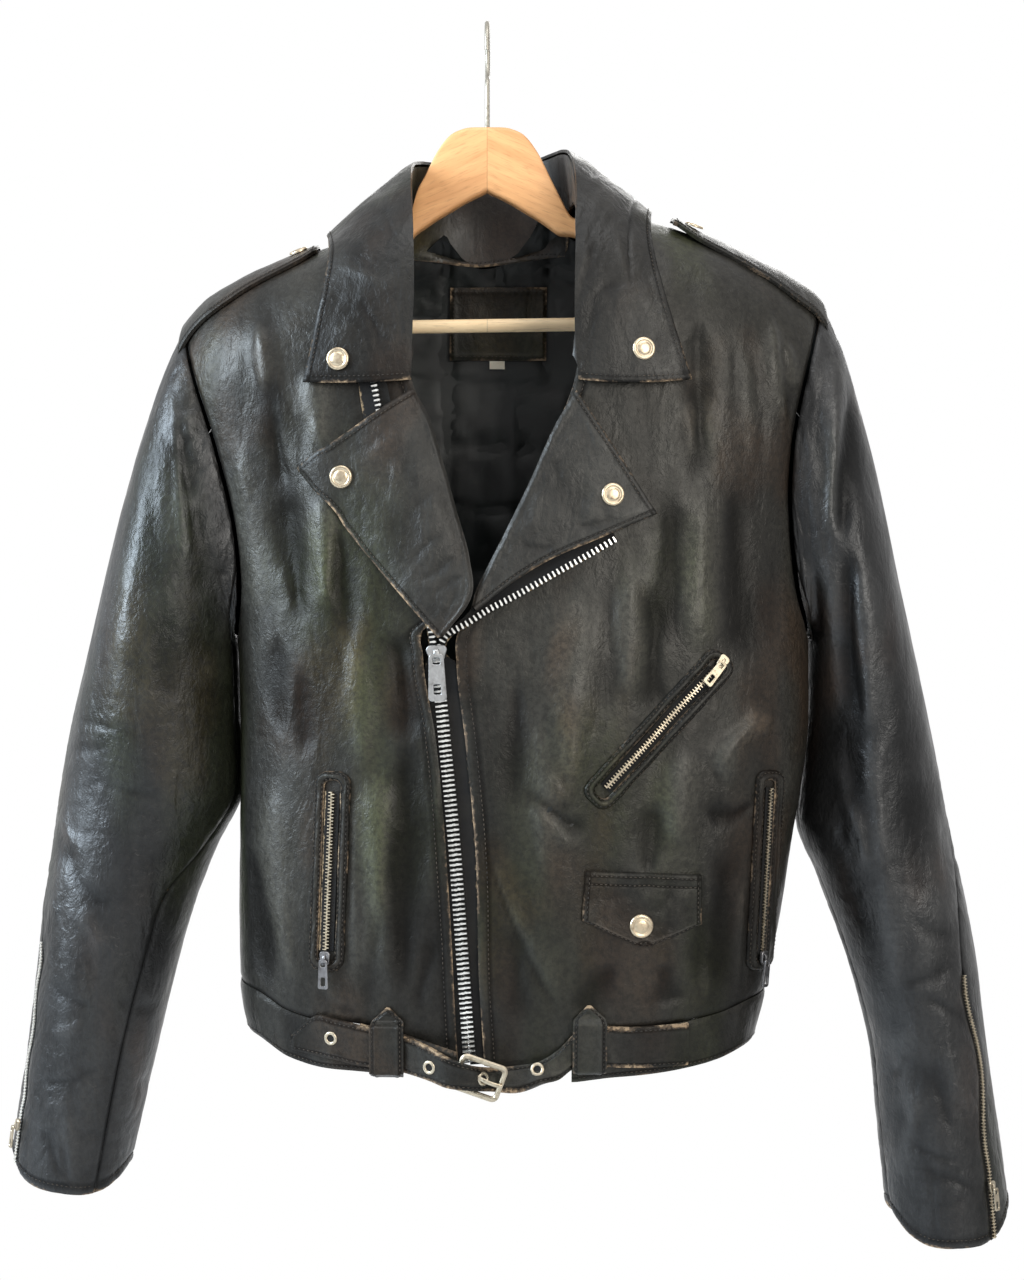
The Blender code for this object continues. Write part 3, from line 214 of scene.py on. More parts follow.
# Largest folds, on the front: x and height of both ends, half width, height of the ridge
FOLDS = [
    (-157, -222, -146, -300, 9, 3.2),
    (-148, -300, -138, -400, 12, -3.0),
    (-113, -300, -112, -455, 13, 2.8),
    (-66, -470, -72, -560, 14, -2.6),
    (-58, -560, -66, -690, 12, 2.6),
    (146, -232, 148, -290, 9, -2.6),
    (200, -236, 206, -330, 9, 3.0),
    (60, -450, 40, -690, 18, 3.0),
    (126, -440, 112, -600, 16, -2.6),
    (172, -500, 160, -690, 14, 3.0),
]


def folds_at(x, z):
    """How far the folds lift the front at a place."""
    lift = np.zeros(np.broadcast(x, z).shape)
    for x1, z1, x2, z2, half, height in FOLDS:
        length2 = (x2 - x1) ** 2 + (z2 - z1) ** 2
        t = ((x - x1) * (x2 - x1) + (z - z1) * (z2 - z1)) / length2
        away = ((x - x1) * (z2 - z1) - (z - z1) * (x2 - x1)) / math.sqrt(length2)
        ends = np.clip(np.minimum(t, 1 - t) * 3 + 0.35, 0, 1)
        lift += height * ends * ends * (3 - 2 * ends) * np.exp(-((away / half) ** 2))
    return lift


def body_y(x, z, face):
    """The y of the body's outer surface, front or back, at a place."""
    right, left, middle, front, back, power = BODY(z)
    half = np.where(x < middle, middle - right, left - middle)
    share = np.clip(np.abs(x - middle) / half, 0, 1)
    depth = front if face == FRONT else back
    drop = np.clip((SHOULDER(x) - z) / ROLL_OVER[face], 0, 1)
    over = np.sqrt(np.maximum(1 - (1 - drop) ** 2, 0))
    rim = (1 - share**power) ** (1 / power)
    y = depth * rim * over
    if face == FRONT:
        y = y + folds_at(x, z) * np.minimum(rim * 1.6, 1) * over
    y = y + swell(x, z, face) * np.minimum(rim * 1.6, 1) * over
    return face * y


def on_body(x, z, lift=0.0, face=FRONT):
    """A point on the body's surface, moved out by the lift."""
    x, z = np.broadcast_arrays(np.asarray(x, float), np.asarray(z, float))
    step = 1.0
    y = body_y(x, z, face)
    slope_x = (body_y(x + step, z, face) - body_y(x - step, z, face)) / (2 * step)
    slope_z = (body_y(x, z + step, face) - body_y(x, z - step, face)) / (2 * step)
    normal = unit(np.stack([-slope_x * face, np.full(x.shape, float(face)), -slope_z * face], axis=-1))
    return np.stack([x, y, z], axis=-1) + normal * np.asarray(lift)[..., None]


def body_normal(x, z, face=FRONT):
    return unit(on_body(x, z, 1.0, face) - on_body(x, z, 0.0, face))


def armhole_x(z, side):
    right, left, middle, _, _, _ = BODY(z)
    share = ARMHOLE(z)
    return middle + share * (np.where(side == RIGHT, right, left) - middle)


def row_heights(x, v, hem):
    """Height of a row that starts at the hem and ends at the shoulder, v from 0 to 1."""
    top = SHOULDER(x)
    turn = 0.26
    roll = 80.0
    share = np.clip((1 - v) / turn, 0, 1)
    rolled = top - roll * (1 - np.cos(share * math.pi / 2)) - 0.004
    fallen = top - roll - (top - roll - hem) * np.clip((1 - turn - v) / (1 - turn), 0, 1)
    return np.where(v > 1 - turn, rolled, fallen)


def front_grid(side, columns, rows):
    """Outer points of one front, from its inner edge to its side seam and armhole."""
    f = np.linspace(0, 1, columns)[None, :]
    v = np.linspace(0, 1, rows)[:, None]
    z = -720 + 560 * v + 0 * f
    ease = np.sin(f * math.pi / 2) * 0.8 + f * 0.2
    for _ in range(40):
        inner = EDGE[side](z)
        outer = armhole_x(z, side)
        x = inner + (outer - inner) * ease
        z = 0.5 * z + 0.5 * row_heights(x, v, HEM(x) + SEAM_GAP)
    grid = on_body(x, z)
    close_seams(grid, (-1,), FRONT)
    return grid if side == LEFT else grid[:, ::-1]


def close_seams(grid, edges, face):
    """Brings side seams below the armholes, and the shoulder seam, to the middle plane."""
    for j in edges:
        low = grid[:, j, 2] < ARMPIT + 2
        grid[low, j, 1] = face * SIDE_GAP
    grid[-1, :, 1] = face * np.maximum(face * grid[-1, :, 1], SIDE_GAP)


def back_grid(columns, rows, neck_lift=0.0, foot=0.0, reach=1.0):
    """Outer points of the back, from the left side seam to the right one."""
    f = np.linspace(-reach, reach, columns)[None, :]
    v = np.linspace(0, 1, rows)[:, None]
    z = -720 + 560 * v + 0 * f
    ease = np.sign(f) * (np.sin(np.abs(f) * math.pi / 2) * 0.8 + np.abs(f) * 0.2)
    centre = (NECK[RIGHT][0] + NECK[LEFT][0]) / 2
    for _ in range(40):
        right = armhole_x(z, RIGHT)
        left = armhole_x(z, LEFT)
        x = np.where(ease < 0, centre + (centre - right) * ease, centre + (left - centre) * ease)
        neck = 1 - np.clip(np.abs(x - centre) / (NECK[LEFT][0] - centre + 2), 0, 1) ** 2.4
        dip = (BACK_NECK_DROP + neck_lift) * neck * np.clip((v - 0.4) / 0.6, 0, 1)
        z = 0.5 * z + 0.5 * (row_heights(x, v, BACK_HEM(x) + SEAM_GAP + foot) - dip)
    grid = on_body(x, z, 0.0, BACK)
    if reach == 1.0:
        close_seams(grid, (0, -1), BACK)
    return grid[:, ::-1]


# ---------------------------------------------------------------- sleeves
# Sleeve sections below the armpit: height, inner x, outer x, middle y, half depth
SLEEVES = {
    RIGHT: smooth([
        (-455, -182.3, -290, 4, 70), (-500, -180.8, -301, 6, 67), (-564, -181.2, -313, 8, 61),
        (-594, -197, -317, 8, 60), (-653, -218, -326, 6, 57), (-712, -234, -331, 4, 54),
        (-771, -247, -338, 2, 50), (-835, -260, -345, 0, 47),
    ]),
    LEFT: smooth([
        (-455, 233.6, 313, 22, 76), (-500, 233.7, 323, 22, 74), (-545, 230.2, 332, 20, 69),
        (-580, 227.2, 338, 16, 64), (-624, 244, 347, 12, 59), (-683, 265, 357, 8, 55),
        (-741, 280, 364, 6, 52), (-800, 285, 371, 4, 49), (-875, 291, 379, 0, 47),
    ]),
}
# Seams as a share of the turn from the inner side over the front: height, front seam, zip seam
SEAMS = {
    RIGHT: smooth([
        (-255, 0.11, 0.66), (-455, 0.035, 0.62), (-560, 0.045, 0.54), (-590, 0.06, 0.50),
        (-629, 0.13, 0.45), (-668, 0.138, 0.421), (-731, 0.148, 0.424), (-835, 0.151, 0.415),
    ]),
    LEFT: smooth([
        (-255, 0.11, 0.66), (-455, 0.02, 0.60), (-560, 0.02, 0.49), (-624, 0.02, 0.41),
        (-689, 0.02, 0.357), (-741, 0.02, 0.371), (-795, 0.02, 0.363), (-875, 0.02, 0.352),
    ]),
}
# Cuff edge: height in front, rise from inner to outer, rise at both sides
CUFF = {RIGHT: (-839, 6.5, 17.5), LEFT: (-878, 2.5, 22.5)}
SLEEVE_TOP = -455.0
ZIP_TOP = {RIGHT: -662.0, LEFT: -684.0}
CHAIN_HALF = 3.1
CAP_OFFSET = 1.7


def armhole_loop(side, share):
    """Points of the armhole: share 0 at the armpit, over the front to 0.5 at the shoulder."""
    front = front_grid(side, 3, 160)[:, 0 if side == RIGHT else -1]
    back = back_grid(3, 160)[:, -1 if side == RIGHT else 0]
    points = []
    for edge in (front, back):
        edge = edge[edge[:, 2] >= ARMPIT]
        reach = np.r_[0, np.cumsum(np.linalg.norm(np.diff(edge, axis=0), axis=1))]
        points.append((reach / reach[-1], edge))
    share = np.mod(share, 1.0)
    over = np.where(share <= 0.5, share * 2, 2 - share * 2)
    found = np.empty(share.shape + (3,))
    for half, chosen in zip(points, (share <= 0.5, share > 0.5)):
        for axis in range(3):
            found[..., axis] = np.where(chosen, np.interp(over, half[0], half[1][:, axis]), found[..., axis])
    return found


def sleeve_ring(side, height, share):
    inner, outer, middle, depth = SLEEVES[side](height)
    turn = 2 * math.pi * share
    x = (inner + outer) / 2 + (inner - outer) / 2 * np.cos(turn)
    y = middle - depth * np.sin(turn)
    low, tilt, rise = CUFF[side]
    cosine = np.cos(turn)
    edge = low - tilt * cosine + rise * cosine**4
    fall = np.clip((-760 - height) / (-760 - low), 0, 1)
    z = height + (edge - low) * fall
    return np.stack([x, y, z], axis=-1)


# ---------------------------------------------------------------- collar
# Collar sections from the right point round the neck to the left point:
# fold x, y, z, middle x, y, z, edge x, y, z
COLLAR = [
    (-51, -93.5, -269, -88, -94.5, -271, -126, -88.5, -270),
    (-50, -95.5, -236, -84, -95.0, -237, -119, -88.0, -236),
    (-49, -94.5, -203, -80, -92.5, -206, -113, -83.0, -206),
    (-50, -84, -168, -78, -82, -174, -110, -68.0, -179),
    (-53, -58, -129, -80, -56, -146, -113, -40.0, -163),
    (-54, -26, -107, -84, -22, -128, -116, -8.0, -155),
    (-50, 6, -97, -80, 20, -118, -112, 38.0, -162),
    (-36, 32, -92, -58, 52, -114, -84, 58.0, -168),
    (-16, 46, -90, -24, 66, -116, -34, 68.0, -176),
    (6, 49, -89, 8, 70, -116, 12, 70.0, -176),
    (28, 46, -88, 38, 66, -112, 52, 67.0, -168),
    (45, 31, -86, 68, 52, -106, 94, 57.0, -155),
    (56, 6, -88, 84, 20, -107, 115, 39.0, -145),
    (61, -26, -100, 88, -22, -116, 119, -8.0, -138.5),
    (63, -58, -124, 88, -56, -136, 117, -43.0, -148),
    (62, -84, -163, 86, -82.5, -169, 117, -69.5, -173),
    (61, -94.5, -200, 88, -93, -204, 123, -84.5, -207),
    (61, -95.5, -235, 93, -95, -237, 132, -87.5, -237),
    (63.5, -94.5, -269, 101, -94.5, -271, 142, -87.5, -268),
]
COLLAR_STEPS = 23
COLLAR_END = -251.0


def collar_grid(columns, steps, start=0.0, end=1.0):
    """Outer points of the collar's fall, from the fold to its edge."""
    table = np.array(COLLAR, float)
    section = smooth([(i / (len(table) - 1), *row) for i, row in enumerate(table)])
    rows = np.stack(section(np.linspace(start, end, steps)), axis=-1).reshape(steps, 3, 3)
    s = np.linspace(0, 1, columns)[None, :, None]
    fold, middle, edge = rows[:, None, 0], rows[:, None, 1], rows[:, None, 2]
    return fold * (1 - s) * (1 - 2 * s) + middle * 4 * s * (1 - s) + edge * s * (2 * s - 1)


def neck_edge():
    """Points just inside the neck edges of the fronts and the back, right to left."""
    points = []
    for side in (RIGHT, LEFT):
        z = np.linspace(COLLAR_END, NECK[side][1] - 6, 16)
        x = EDGE[side](z)
        y = body_y(x, z, FRONT)
        edge = np.stack([x - side * NECK_GAP, y + NECK_GAP, z], axis=-1)
        points.append(edge if side == RIGHT else edge[::-1])
    top = back_grid(31, 20)[-1][::-1]
    inside = (top[:, 0] > NECK[RIGHT][0] - 2) & (top[:, 0] < NECK[LEFT][0] + 2)
    behind = top[inside] + np.array([0, -BACK_NECK_GAP, 0.8])
    behind[:, 0] *= 0.97
    return along(np.concatenate([points[0], behind, points[1]]), COLLAR_STEPS)


# ---------------------------------------------------------------- lapels
# Roll line and outer edge of each lapel: share from top to bottom, x, height
LAPEL_ROLL = {
    RIGHT: smooth([(0, -50, -275), (0.1, -41, -289), (0.3, -30, -322), (0.5, -20, -357), (0.7, -10.5, -393),
                   (0.85, -9.5, -419), (1, -28, -445)]),
    LEFT: smooth([(0, 62, -276), (0.2, 46, -303), (0.4, 30, -339), (0.65, 10, -380), (0.9, -7, -415),
                  (1, -9, -424)]),
}
LAPEL_EDGE = {
    RIGHT: smooth([(0, -129, -329), (0.2, -106, -358), (0.5, -78, -393), (0.75, -55, -420), (1, -32, -446)]),
    LEFT: smooth([(0, 117, -361), (0.3, 78, -378), (0.6, 40, -395), (0.8, 15, -411), (1, -6, -428)]),
}
# Height above the front across a lapel: share from roll line to edge, lift
LAPEL_LIFT = {
    RIGHT: smooth([(0, 3.1), (0.2, 8.8), (0.5, 9.4), (0.8, 8.6), (1, 4.6)]),
    LEFT: smooth([(0, 3.6), (0.25, 4.8), (0.5, 5.2), (0.8, 5.2), (1, 5.2)]),
}
# Over the zip the lower tip is level: height above the front, share where that starts
LAPEL_TIP = {RIGHT: (9.4, 0.55), LEFT: (6.6, 0.8)}


def lapel_grid(side, rows, columns):
    t = np.linspace(0, 1, rows)[:, None]
    s = np.linspace(0, 1, columns)[None, :]
    roll_x, roll_z = LAPEL_ROLL[side](t)
    edge_x, edge_z = LAPEL_EDGE[side](t)
    x = roll_x + (edge_x - roll_x) * s
    z = roll_z + (edge_z - roll_z) * s
    tip, starts = LAPEL_TIP[side]
    level = np.clip((t - starts) / 0.25, 0, 1)
    grid = on_body(x, z, LAPEL_LIFT[side](s) * (1 - level) + tip * level)
    return grid if side == RIGHT else grid[:, ::-1]


# ---------------------------------------------------------------- shoulder straps
# Strap from the armhole to its free end: share, x, front edge y, back edge y, lift
STRAPS = {
    RIGHT: smooth([(0, -219, -28, 9, 4.4), (0.3, -196, -37, 5, 3.9), (0.75, -146, -40, 3, 3.9),
                   (1, -121, -38, 2, 4.4)]),
    LEFT: smooth([(0, 242, -28, 9, 4.4), (0.3, 216, -37, 5, 3.9), (0.75, 160, -40, 3, 4.1),
                  (1, 132, -38, 2, 8.0)]),
}
STRAP_LEATHER = 2.4


def on_shoulder(x, y, lift=0.0):
    """A point over the shoulder seam, from its x and y, moved out by the lift."""

    def height(x, y):
        z = SHOULDER(x) - 4.0
        for _ in range(3):
            right, left, middle, front, back, power = BODY(z)
            half = np.where(x < middle, middle - right, left - middle)
            rim = (1 - np.clip(np.abs(x - middle) / half, 0, 0.98) ** power) ** (1 / power)
            depth = np.where(y < 0, front, back) * rim
            turn = np.where(y < 0, ROLL_OVER[FRONT], ROLL_OVER[BACK])
            z = SHOULDER(x) - turn * (1 - np.sqrt(1 - np.clip(np.abs(y) / depth, 0, 0.99) ** 2))
        return z

    x, y = np.broadcast_arrays(np.asarray(x, float), np.asarray(y, float))
    z = height(x, y)
    slope_x = (height(x + 2, y) - height(x - 2, y)) / 4
    slope_y = (height(x, y + 2) - height(x, y - 2)) / 4
    normal = unit(np.stack([-slope_x, -slope_y, np.ones(x.shape)], axis=-1))
    return np.stack([x, y, z], axis=-1) + normal * np.asarray(lift)[..., None]


# ---------------------------------------------------------------- waistband and belt
BAND_START = {RIGHT: -57.0, LEFT: 59.0}
BAND_LIFT = 0.5
# Extra space above the waistband's ends, behind the belt loops
BAND_CLEAR = 1.6


# Belt from its tip, over the buckle's left bar and under its right one, to its sewn end:
# x, top, bottom, lift of the top, lift of the bottom
BELT = smooth([
    (-134, -721, -731, 4.4, 4.4), (-116, -706, -734, 4.4, 4.4), (-102, -708, -736, 5.6, 5.6),
    (-90, -710, -738, 7.0, 7.0),
    (-75, -713, -740, 7.2, 7.2), (-55, -718, -743, 7.4, 8), (-40, -722.5, -745.5, 13.5, 14.5),
    (-27, -727, -748, 21.4, 22),
    (-11, -732.5, -750, 21.4, 22), (4, -738, -753, 9, 14.6), (22, -738, -753, 4.4, 15),
    (37, -735, -748, 4.2, 14),
    (50, -727, -747, 4.2, 9), (61, -717, -741, 4.2, 4.4), (72, -713, -740, 4.2, 4.2),
    (100, -713, -741, 4.2, 4.2),
    (139, -711.5, -741, 4.2, 4.2),
])
# Strap that holds the buckle, under the belt
HOLDER = smooth([(-90, -710, -738, 3.9, 3.9), (-75, -713, -740, 4.0, 4.0), (-55, -718, -743, 4.0, 4.7),
                 (-18, -729.5, -749, 4.0, 11)])
BUCKLE_STRAP = (-86, -20)
# Belt loops from the point down: height, half width, lift
LOOP = [(0, 1.2, 3.6), (5, 6.5, 3.6), (8.5, 11, 4.0), (11.5, 11.5, 7.6), (24, 11.5, 7.6), (44, 11.5, 7.6),
        (48, 10.5, 3.6)]
LOOPS = {RIGHT: (-67, -699.5, 3.1), LEFT: (71, -698, 0.0)}


def ribbon_grid(line, columns, rows=3):
    """Outer points of a strap from its table of edges, the bottom row first."""
    x = np.array(columns, float)[None, :]
    top, bottom, top_lift, bottom_lift = line(x)
    up = np.linspace(0, 1, rows)[:, None]
    return on_body(x + 0 * up, bottom + (top - bottom) * up, bottom_lift + (top_lift - bottom_lift) * up)


# Buckle: middle x and height, lift, width, height, bar, thickness, turn in degrees
BUCKLE = (-4, -742.5, 17.0, 34, 27, 3.4, 2.4, -20)
# Prong: length, width, thickness, how far its middle lies to the left of the buckle's
PRONG = (15, 3.0, 1.8, 8.5)


# ---------------------------------------------------------------- zips
# Zip halves from the hem up: x and height of the bead's middle, tape width right and left of it,
# lift of the tape
ZIP_PATH = {
    RIGHT: [
        (-13.6, -739, 8, 0.2, -3.4), (-14.6, -724, 11, 0.2, -3.4), (-19.6, -650, 12, 0.2, -3.4),
        (-24.6, -580, 12, 0.2, -3.4),
        (-30.6, -516, 8, 0.2, -3.4), (-35.2, -464, 4, 0.2, -3.4), (-35.8, -456, 0.6, 0.2, -3.0),
        (-36.6, -447, 0.3, 0.3, -0.4), (-38, -438, 0.3, 0.3, 0.9), (-42, -422, 4, 0.3, 0.9),
        (-55, -365, 9, 4, 0.7), (-65, -325, 9, 7, 0.7), (-74, -287, 9, 7, 0.7), (-80, -256, 7, 7, 0.7),
    ],
    LEFT: [
        (-8.4, -740, 0.2, 6, -3.4), (-9.4, -724, 0.2, 6, -3.4), (-14.4, -650, 0.2, 8, -3.4),
        (-19.4, -580, 0.2, 10, -3.4),
        (-25.4, -516, 0.2, 10, -3.4), (-30.0, -464, 0.2, 8, -3.4), (-30.4, -457, 0.2, 0.6, -3.0),
        (-29.5, -450, 0.3, 0.3, -0.9), (-24, -442.5, 0.3, 0.3, 0.9), (-13, -436, 2, 0.3, 0.9),
        (1, -427, 6, 0.3, 0.9),
        (21, -416.5, 8, 0.3, 0.9), (43, -404, 8, 0.3, 0.9), (67, -390.5, 8, 0.3, 0.9),
        (89, -377.5, 8, 0.3, 0.9),
    ],
}
TAPE = 0.9
BEAD_HALF = 2.2
# Slider of the front zip: x, height, lift
MAIN_SLIDER = (-33, -456.5, 3.4)


# Sliders and pulls: their sizes in SLIDER_SIZES
SLIDER_SIZES = {
    # width, height, thickness; pull width, length, thickness, window width, window height
    "main": (14, 10.5, 4.2, 12.5, 32, 1.6, 5, 7),
    "pocket": (7.5, 9.5, 3.2, 7.5, 20, 1.3, 3.2, 6),
    "cuff": (6.5, 8.5, 3.0, 5.5, 16, 1.2, 2.2, 5),
}


# Metal past the pivot of a pull, and the space under it there
PULL_EYE = 1.3
PULL_CLEAR = 0.85


# ---------------------------------------------------------------- pockets
# Zipped pockets: x and height of the top end, x and height of the bottom end, welt half width
POCKETS = {
    "hand_right": (-104.5, -537, -110, -676, 13.0),
    "hand_left": (198, -538, 191.5, -680, 11.0),
    "chest": (166, -458, 72, -559, 12.5),
}
# Where each pocket's slider stands, as a share down the pocket
SLIDER_AT = {"hand_right": 0.93, "hand_left": 0.93, "chest": 0.045}
WELT = 1.6
WELT_RIM = 7.6


# Coin flap: height of its top edge at its right end, slope; rows: distance below it, x of the
# right and left edges
FLAP_TOP = -605.0
FLAP_SLOPE = -0.05
FLAP = [(0, 68, 148), (20, 66.5, 148), (34, 65.5, 148), (42, 84, 131), (50, 104, 112)]


FLAP_LIFT = DOUBLED + LAY_GAP + 0.2


# ---------------------------------------------------------------- label
LABEL = (-29, 44, -179.5, -236.5)
TAG = (1, 12, -237.0, -243.0)


# ---------------------------------------------------------------- hanger
ARM_DROP = 4.2
# Wood from the middle out: distance, top, bottom, half thickness
CREST = [(0, -74, -121, 6.5), (18, -75.5, -130, 6.5), (27, -80, -135.5, 6.5), (37, -93, -141.5, 6.5),
         (45, -109, -147, 6.5), (52, -123, -152, 6.5)]
# Arms: distance from the middle, height of the wood, half thickness
ARM = {
    RIGHT: [(76, 22, 6.5), (109, 21, 7), (150, 18, 7.5), (193, 13.5, 8)],
    LEFT: [(76, 22, 6.5), (112, 22, 7), (158, 21, 7.5), (215, 19.6, 8)],
}
# Where the wood dips under the collar: distance, top, bottom
DIP = {RIGHT: (58.5, -149, -160), LEFT: (61, -139, -153)}
TIP = {RIGHT: (211, 22, 8), LEFT: (235, 22, 8)}
BAR_RADIUS = 4.9
BAR_BELOW = 6.5
STEP = 0.4


HOOK_WIRE = 1.8
HOOK_BEND = 18.0
HOOK_FOOT = -73.6



# ---------------------------------------------------------------- mesh tools
def ride(obj, body=ROOT, replaces=()):
    bpy.context.scene.collection.objects.link(obj)
    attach(obj, body)
    if replaces:
        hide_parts(*replaces)
    return obj


def piece(name, points, faces, materials, slot, body=ROOT, replaces=(), layers=None, marks=None, sharp=50):
    """A named mesh from points in millimetres, smooth except over sharp edges."""
    mesh = bpy.data.meshes.new(name)
    mesh.from_pydata((np.asarray(points) * MM).tolist(), [], faces)
    for key, values in (layers or {}).items():
        layer = mesh.attributes.new(key, "FLOAT", "POINT")
        layer.data.foreach_set("value", np.asarray(values, np.float32).ravel())
    for material in materials:
        mesh.materials.append(material)
    if marks is not None:
        mesh.polygons.foreach_set("material_index", np.asarray(marks, np.int32))
    mesh.shade_smooth()
    mesh.set_sharp_from_angle(angle=math.radians(sharp))
    mesh.update()
    return ride(bpy.data.objects.new(name, mesh), body, replaces)


def every(count, step):
    """Every step-th index and the last one."""
    return np.array(list(range(0, count - 1, step)) + [count - 1])


# The inner side of a shell keeps every third line of its outer side
INNER_STEP = 3


def shell(name, grid, thickness, materials, slot, wear, dent, normals=None, **options):
    """Cloth as a closed thin shell; its inner side is coarser, in the second material."""
    rows, columns = grid.shape[:2]
    normals = grid_normals(grid) if normals is None else normals
    i_at, j_at = every(rows, INNER_STEP), every(columns, INNER_STEP)
    inner = (grid - normals * thickness)[np.ix_(i_at, j_at)]
    top = np.arange(rows * columns).reshape(rows, columns)
    low = rows * columns + np.arange(len(i_at) * len(j_at)).reshape(len(i_at), len(j_at))
    faces = np.stack([top[:-1, :-1], top[:-1, 1:], top[1:, 1:], top[1:, :-1]], -1).reshape(-1, 4).tolist()
    marks = [0] * len(faces)
    under = np.stack([low[:-1, :-1], low[1:, :-1], low[1:, 1:], low[:-1, 1:]], -1).reshape(-1, 4).tolist()
    faces += under
    marks += [1] * len(under)
    for at, upper, lower, flip in (
        (j_at, top[0], low[0], True), (j_at, top[-1], low[-1], False),
        (i_at, top[:, 0], low[:, 0], False), (i_at, top[:, -1], low[:, -1], True),
    ):
        for n, (a, b) in enumerate(zip(at[:-1], at[1:])):
            rim = list(upper[a:b + 1]) + [lower[n + 1], lower[n]]
            faces.append([int(k) for k in (reversed(rim) if flip else rim)])
            marks.append(0)
    found = {}
    for key, values in (("wear", wear), ("dent", dent)):
        values = np.broadcast_to(values, (rows, columns))
        found[key] = np.concatenate([values.ravel(), values[np.ix_(i_at, j_at)].ravel()])
    points = np.concatenate([grid.reshape(-1, 3), inner.reshape(-1, 3)])
    both = [M[material] for material in materials]
    return piece(name, points, faces, both, slot, layers=found, marks=marks, **options)


def from_border(grid, border):
    """Distance over the cloth from one border: left and right end the columns, first and last the rows."""
    axis = 1 if border in ("left", "right") else 0
    step = np.linalg.norm(np.diff(grid, axis=axis), axis=-1)
    zero = np.zeros_like(step[:, :1] if axis else step[:1])
    if border in ("left", "first"):
        return np.concatenate([zero, np.cumsum(step, axis=axis)], axis=axis)
    back = np.flip(np.cumsum(np.flip(step, axis), axis=axis), axis)
    return np.concatenate([back, zero], axis=axis)


def inset_line(grid, normals, border, inset):
    """Points and normals of the line at an even distance from one border."""
    away = from_border(grid, border)
    if border in ("first", "last"):
        away, grid, normals = away.T, grid.transpose(1, 0, 2), normals.transpose(1, 0, 2)
    if border in ("right", "last"):
        away, grid, normals = away[:, ::-1], grid[:, ::-1], normals[:, ::-1]
    points, outward = [], []
    for row, line, normal in zip(away, grid, normals):
        points.append([np.interp(inset, row, line[:, axis]) for axis in range(3)])
        outward.append([np.interp(inset, row, normal[:, axis]) for axis in range(3)])
    return np.array(points), unit(np.array(outward))


def cut_line(points, normals, start=0.0, end=0.0):
    """A line without a length at each end."""
    reach = np.r_[0, np.cumsum(np.linalg.norm(np.diff(points, axis=0), axis=1))]
    keep = (reach >= start) & (reach <= reach[-1] - end)
    return points[keep], normals[keep]


# ---------------------------------------------------------------- noise and creases
def noise(u, v, seed=0.0):
    """Smooth noise from -1 to 1, one cell for each unit."""
    iu, iv = np.floor(u), np.floor(v)
    fu, fv = u - iu, v - iv
    su, sv = fu * fu * (3 - 2 * fu), fv * fv * (3 - 2 * fv)

    def corner(a, b):
        n = np.sin((iu + a) * 127.1 + (iv + b) * 311.7 + seed * 74.7) * 43758.5453
        return (n - np.floor(n)) * 2 - 1

    low = corner(0, 0) * (1 - su) + corner(1, 0) * su
    high = corner(0, 1) * (1 - su) + corner(1, 1) * su
    return low * (1 - sv) + high * sv


def ridged(u, v, seed=0.0):
    """Thin meeting valleys, from -1 in a valley to 0."""
    first = 1 - np.abs(noise(u, v, seed))
    second = 1 - np.abs(noise(u * 2.1 + 5, v * 2.1, seed + 3))
    return -(0.7 * first**5 + 0.3 * second**5)


def creases(x, z, table):
    """Troughs and ridges: x and height of both ends, sideways bow, half width, height."""
    x, z = np.broadcast_arrays(x, z)
    total = np.zeros(x.shape)
    for x1, z1, x2, z2, bow, half, height in table:
        near = (np.minimum(x1, x2) - 4 * half - abs(bow) < x) & (x < np.maximum(x1, x2) + 4 * half + abs(bow))
        near &= (np.minimum(z1, z2) - 4 * half - abs(bow) < z) & (z < np.maximum(z1, z2) + 4 * half
                + abs(bow))
        if not near.any():
            continue
        px, pz = x[near], z[near]
        length = math.hypot(x2 - x1, z2 - z1)
        t = ((px - x1) * (x2 - x1) + (pz - z1) * (z2 - z1)) / length**2
        away = ((px - x1) * (z2 - z1) - (pz - z1) * (x2 - x1)) / length
        away = away - bow * 4 * t * (1 - t)
        wander = 1 + 0.35 * np.sin(t * 7.0 + x1)
        ends = np.clip(np.minimum(t, 1 - t) * 4, 0, 1)
        ends = ends * ends * (3 - 2 * ends)
        total[near] += height * ends * np.exp(-((away / (half * wander)) ** 2))
    return total


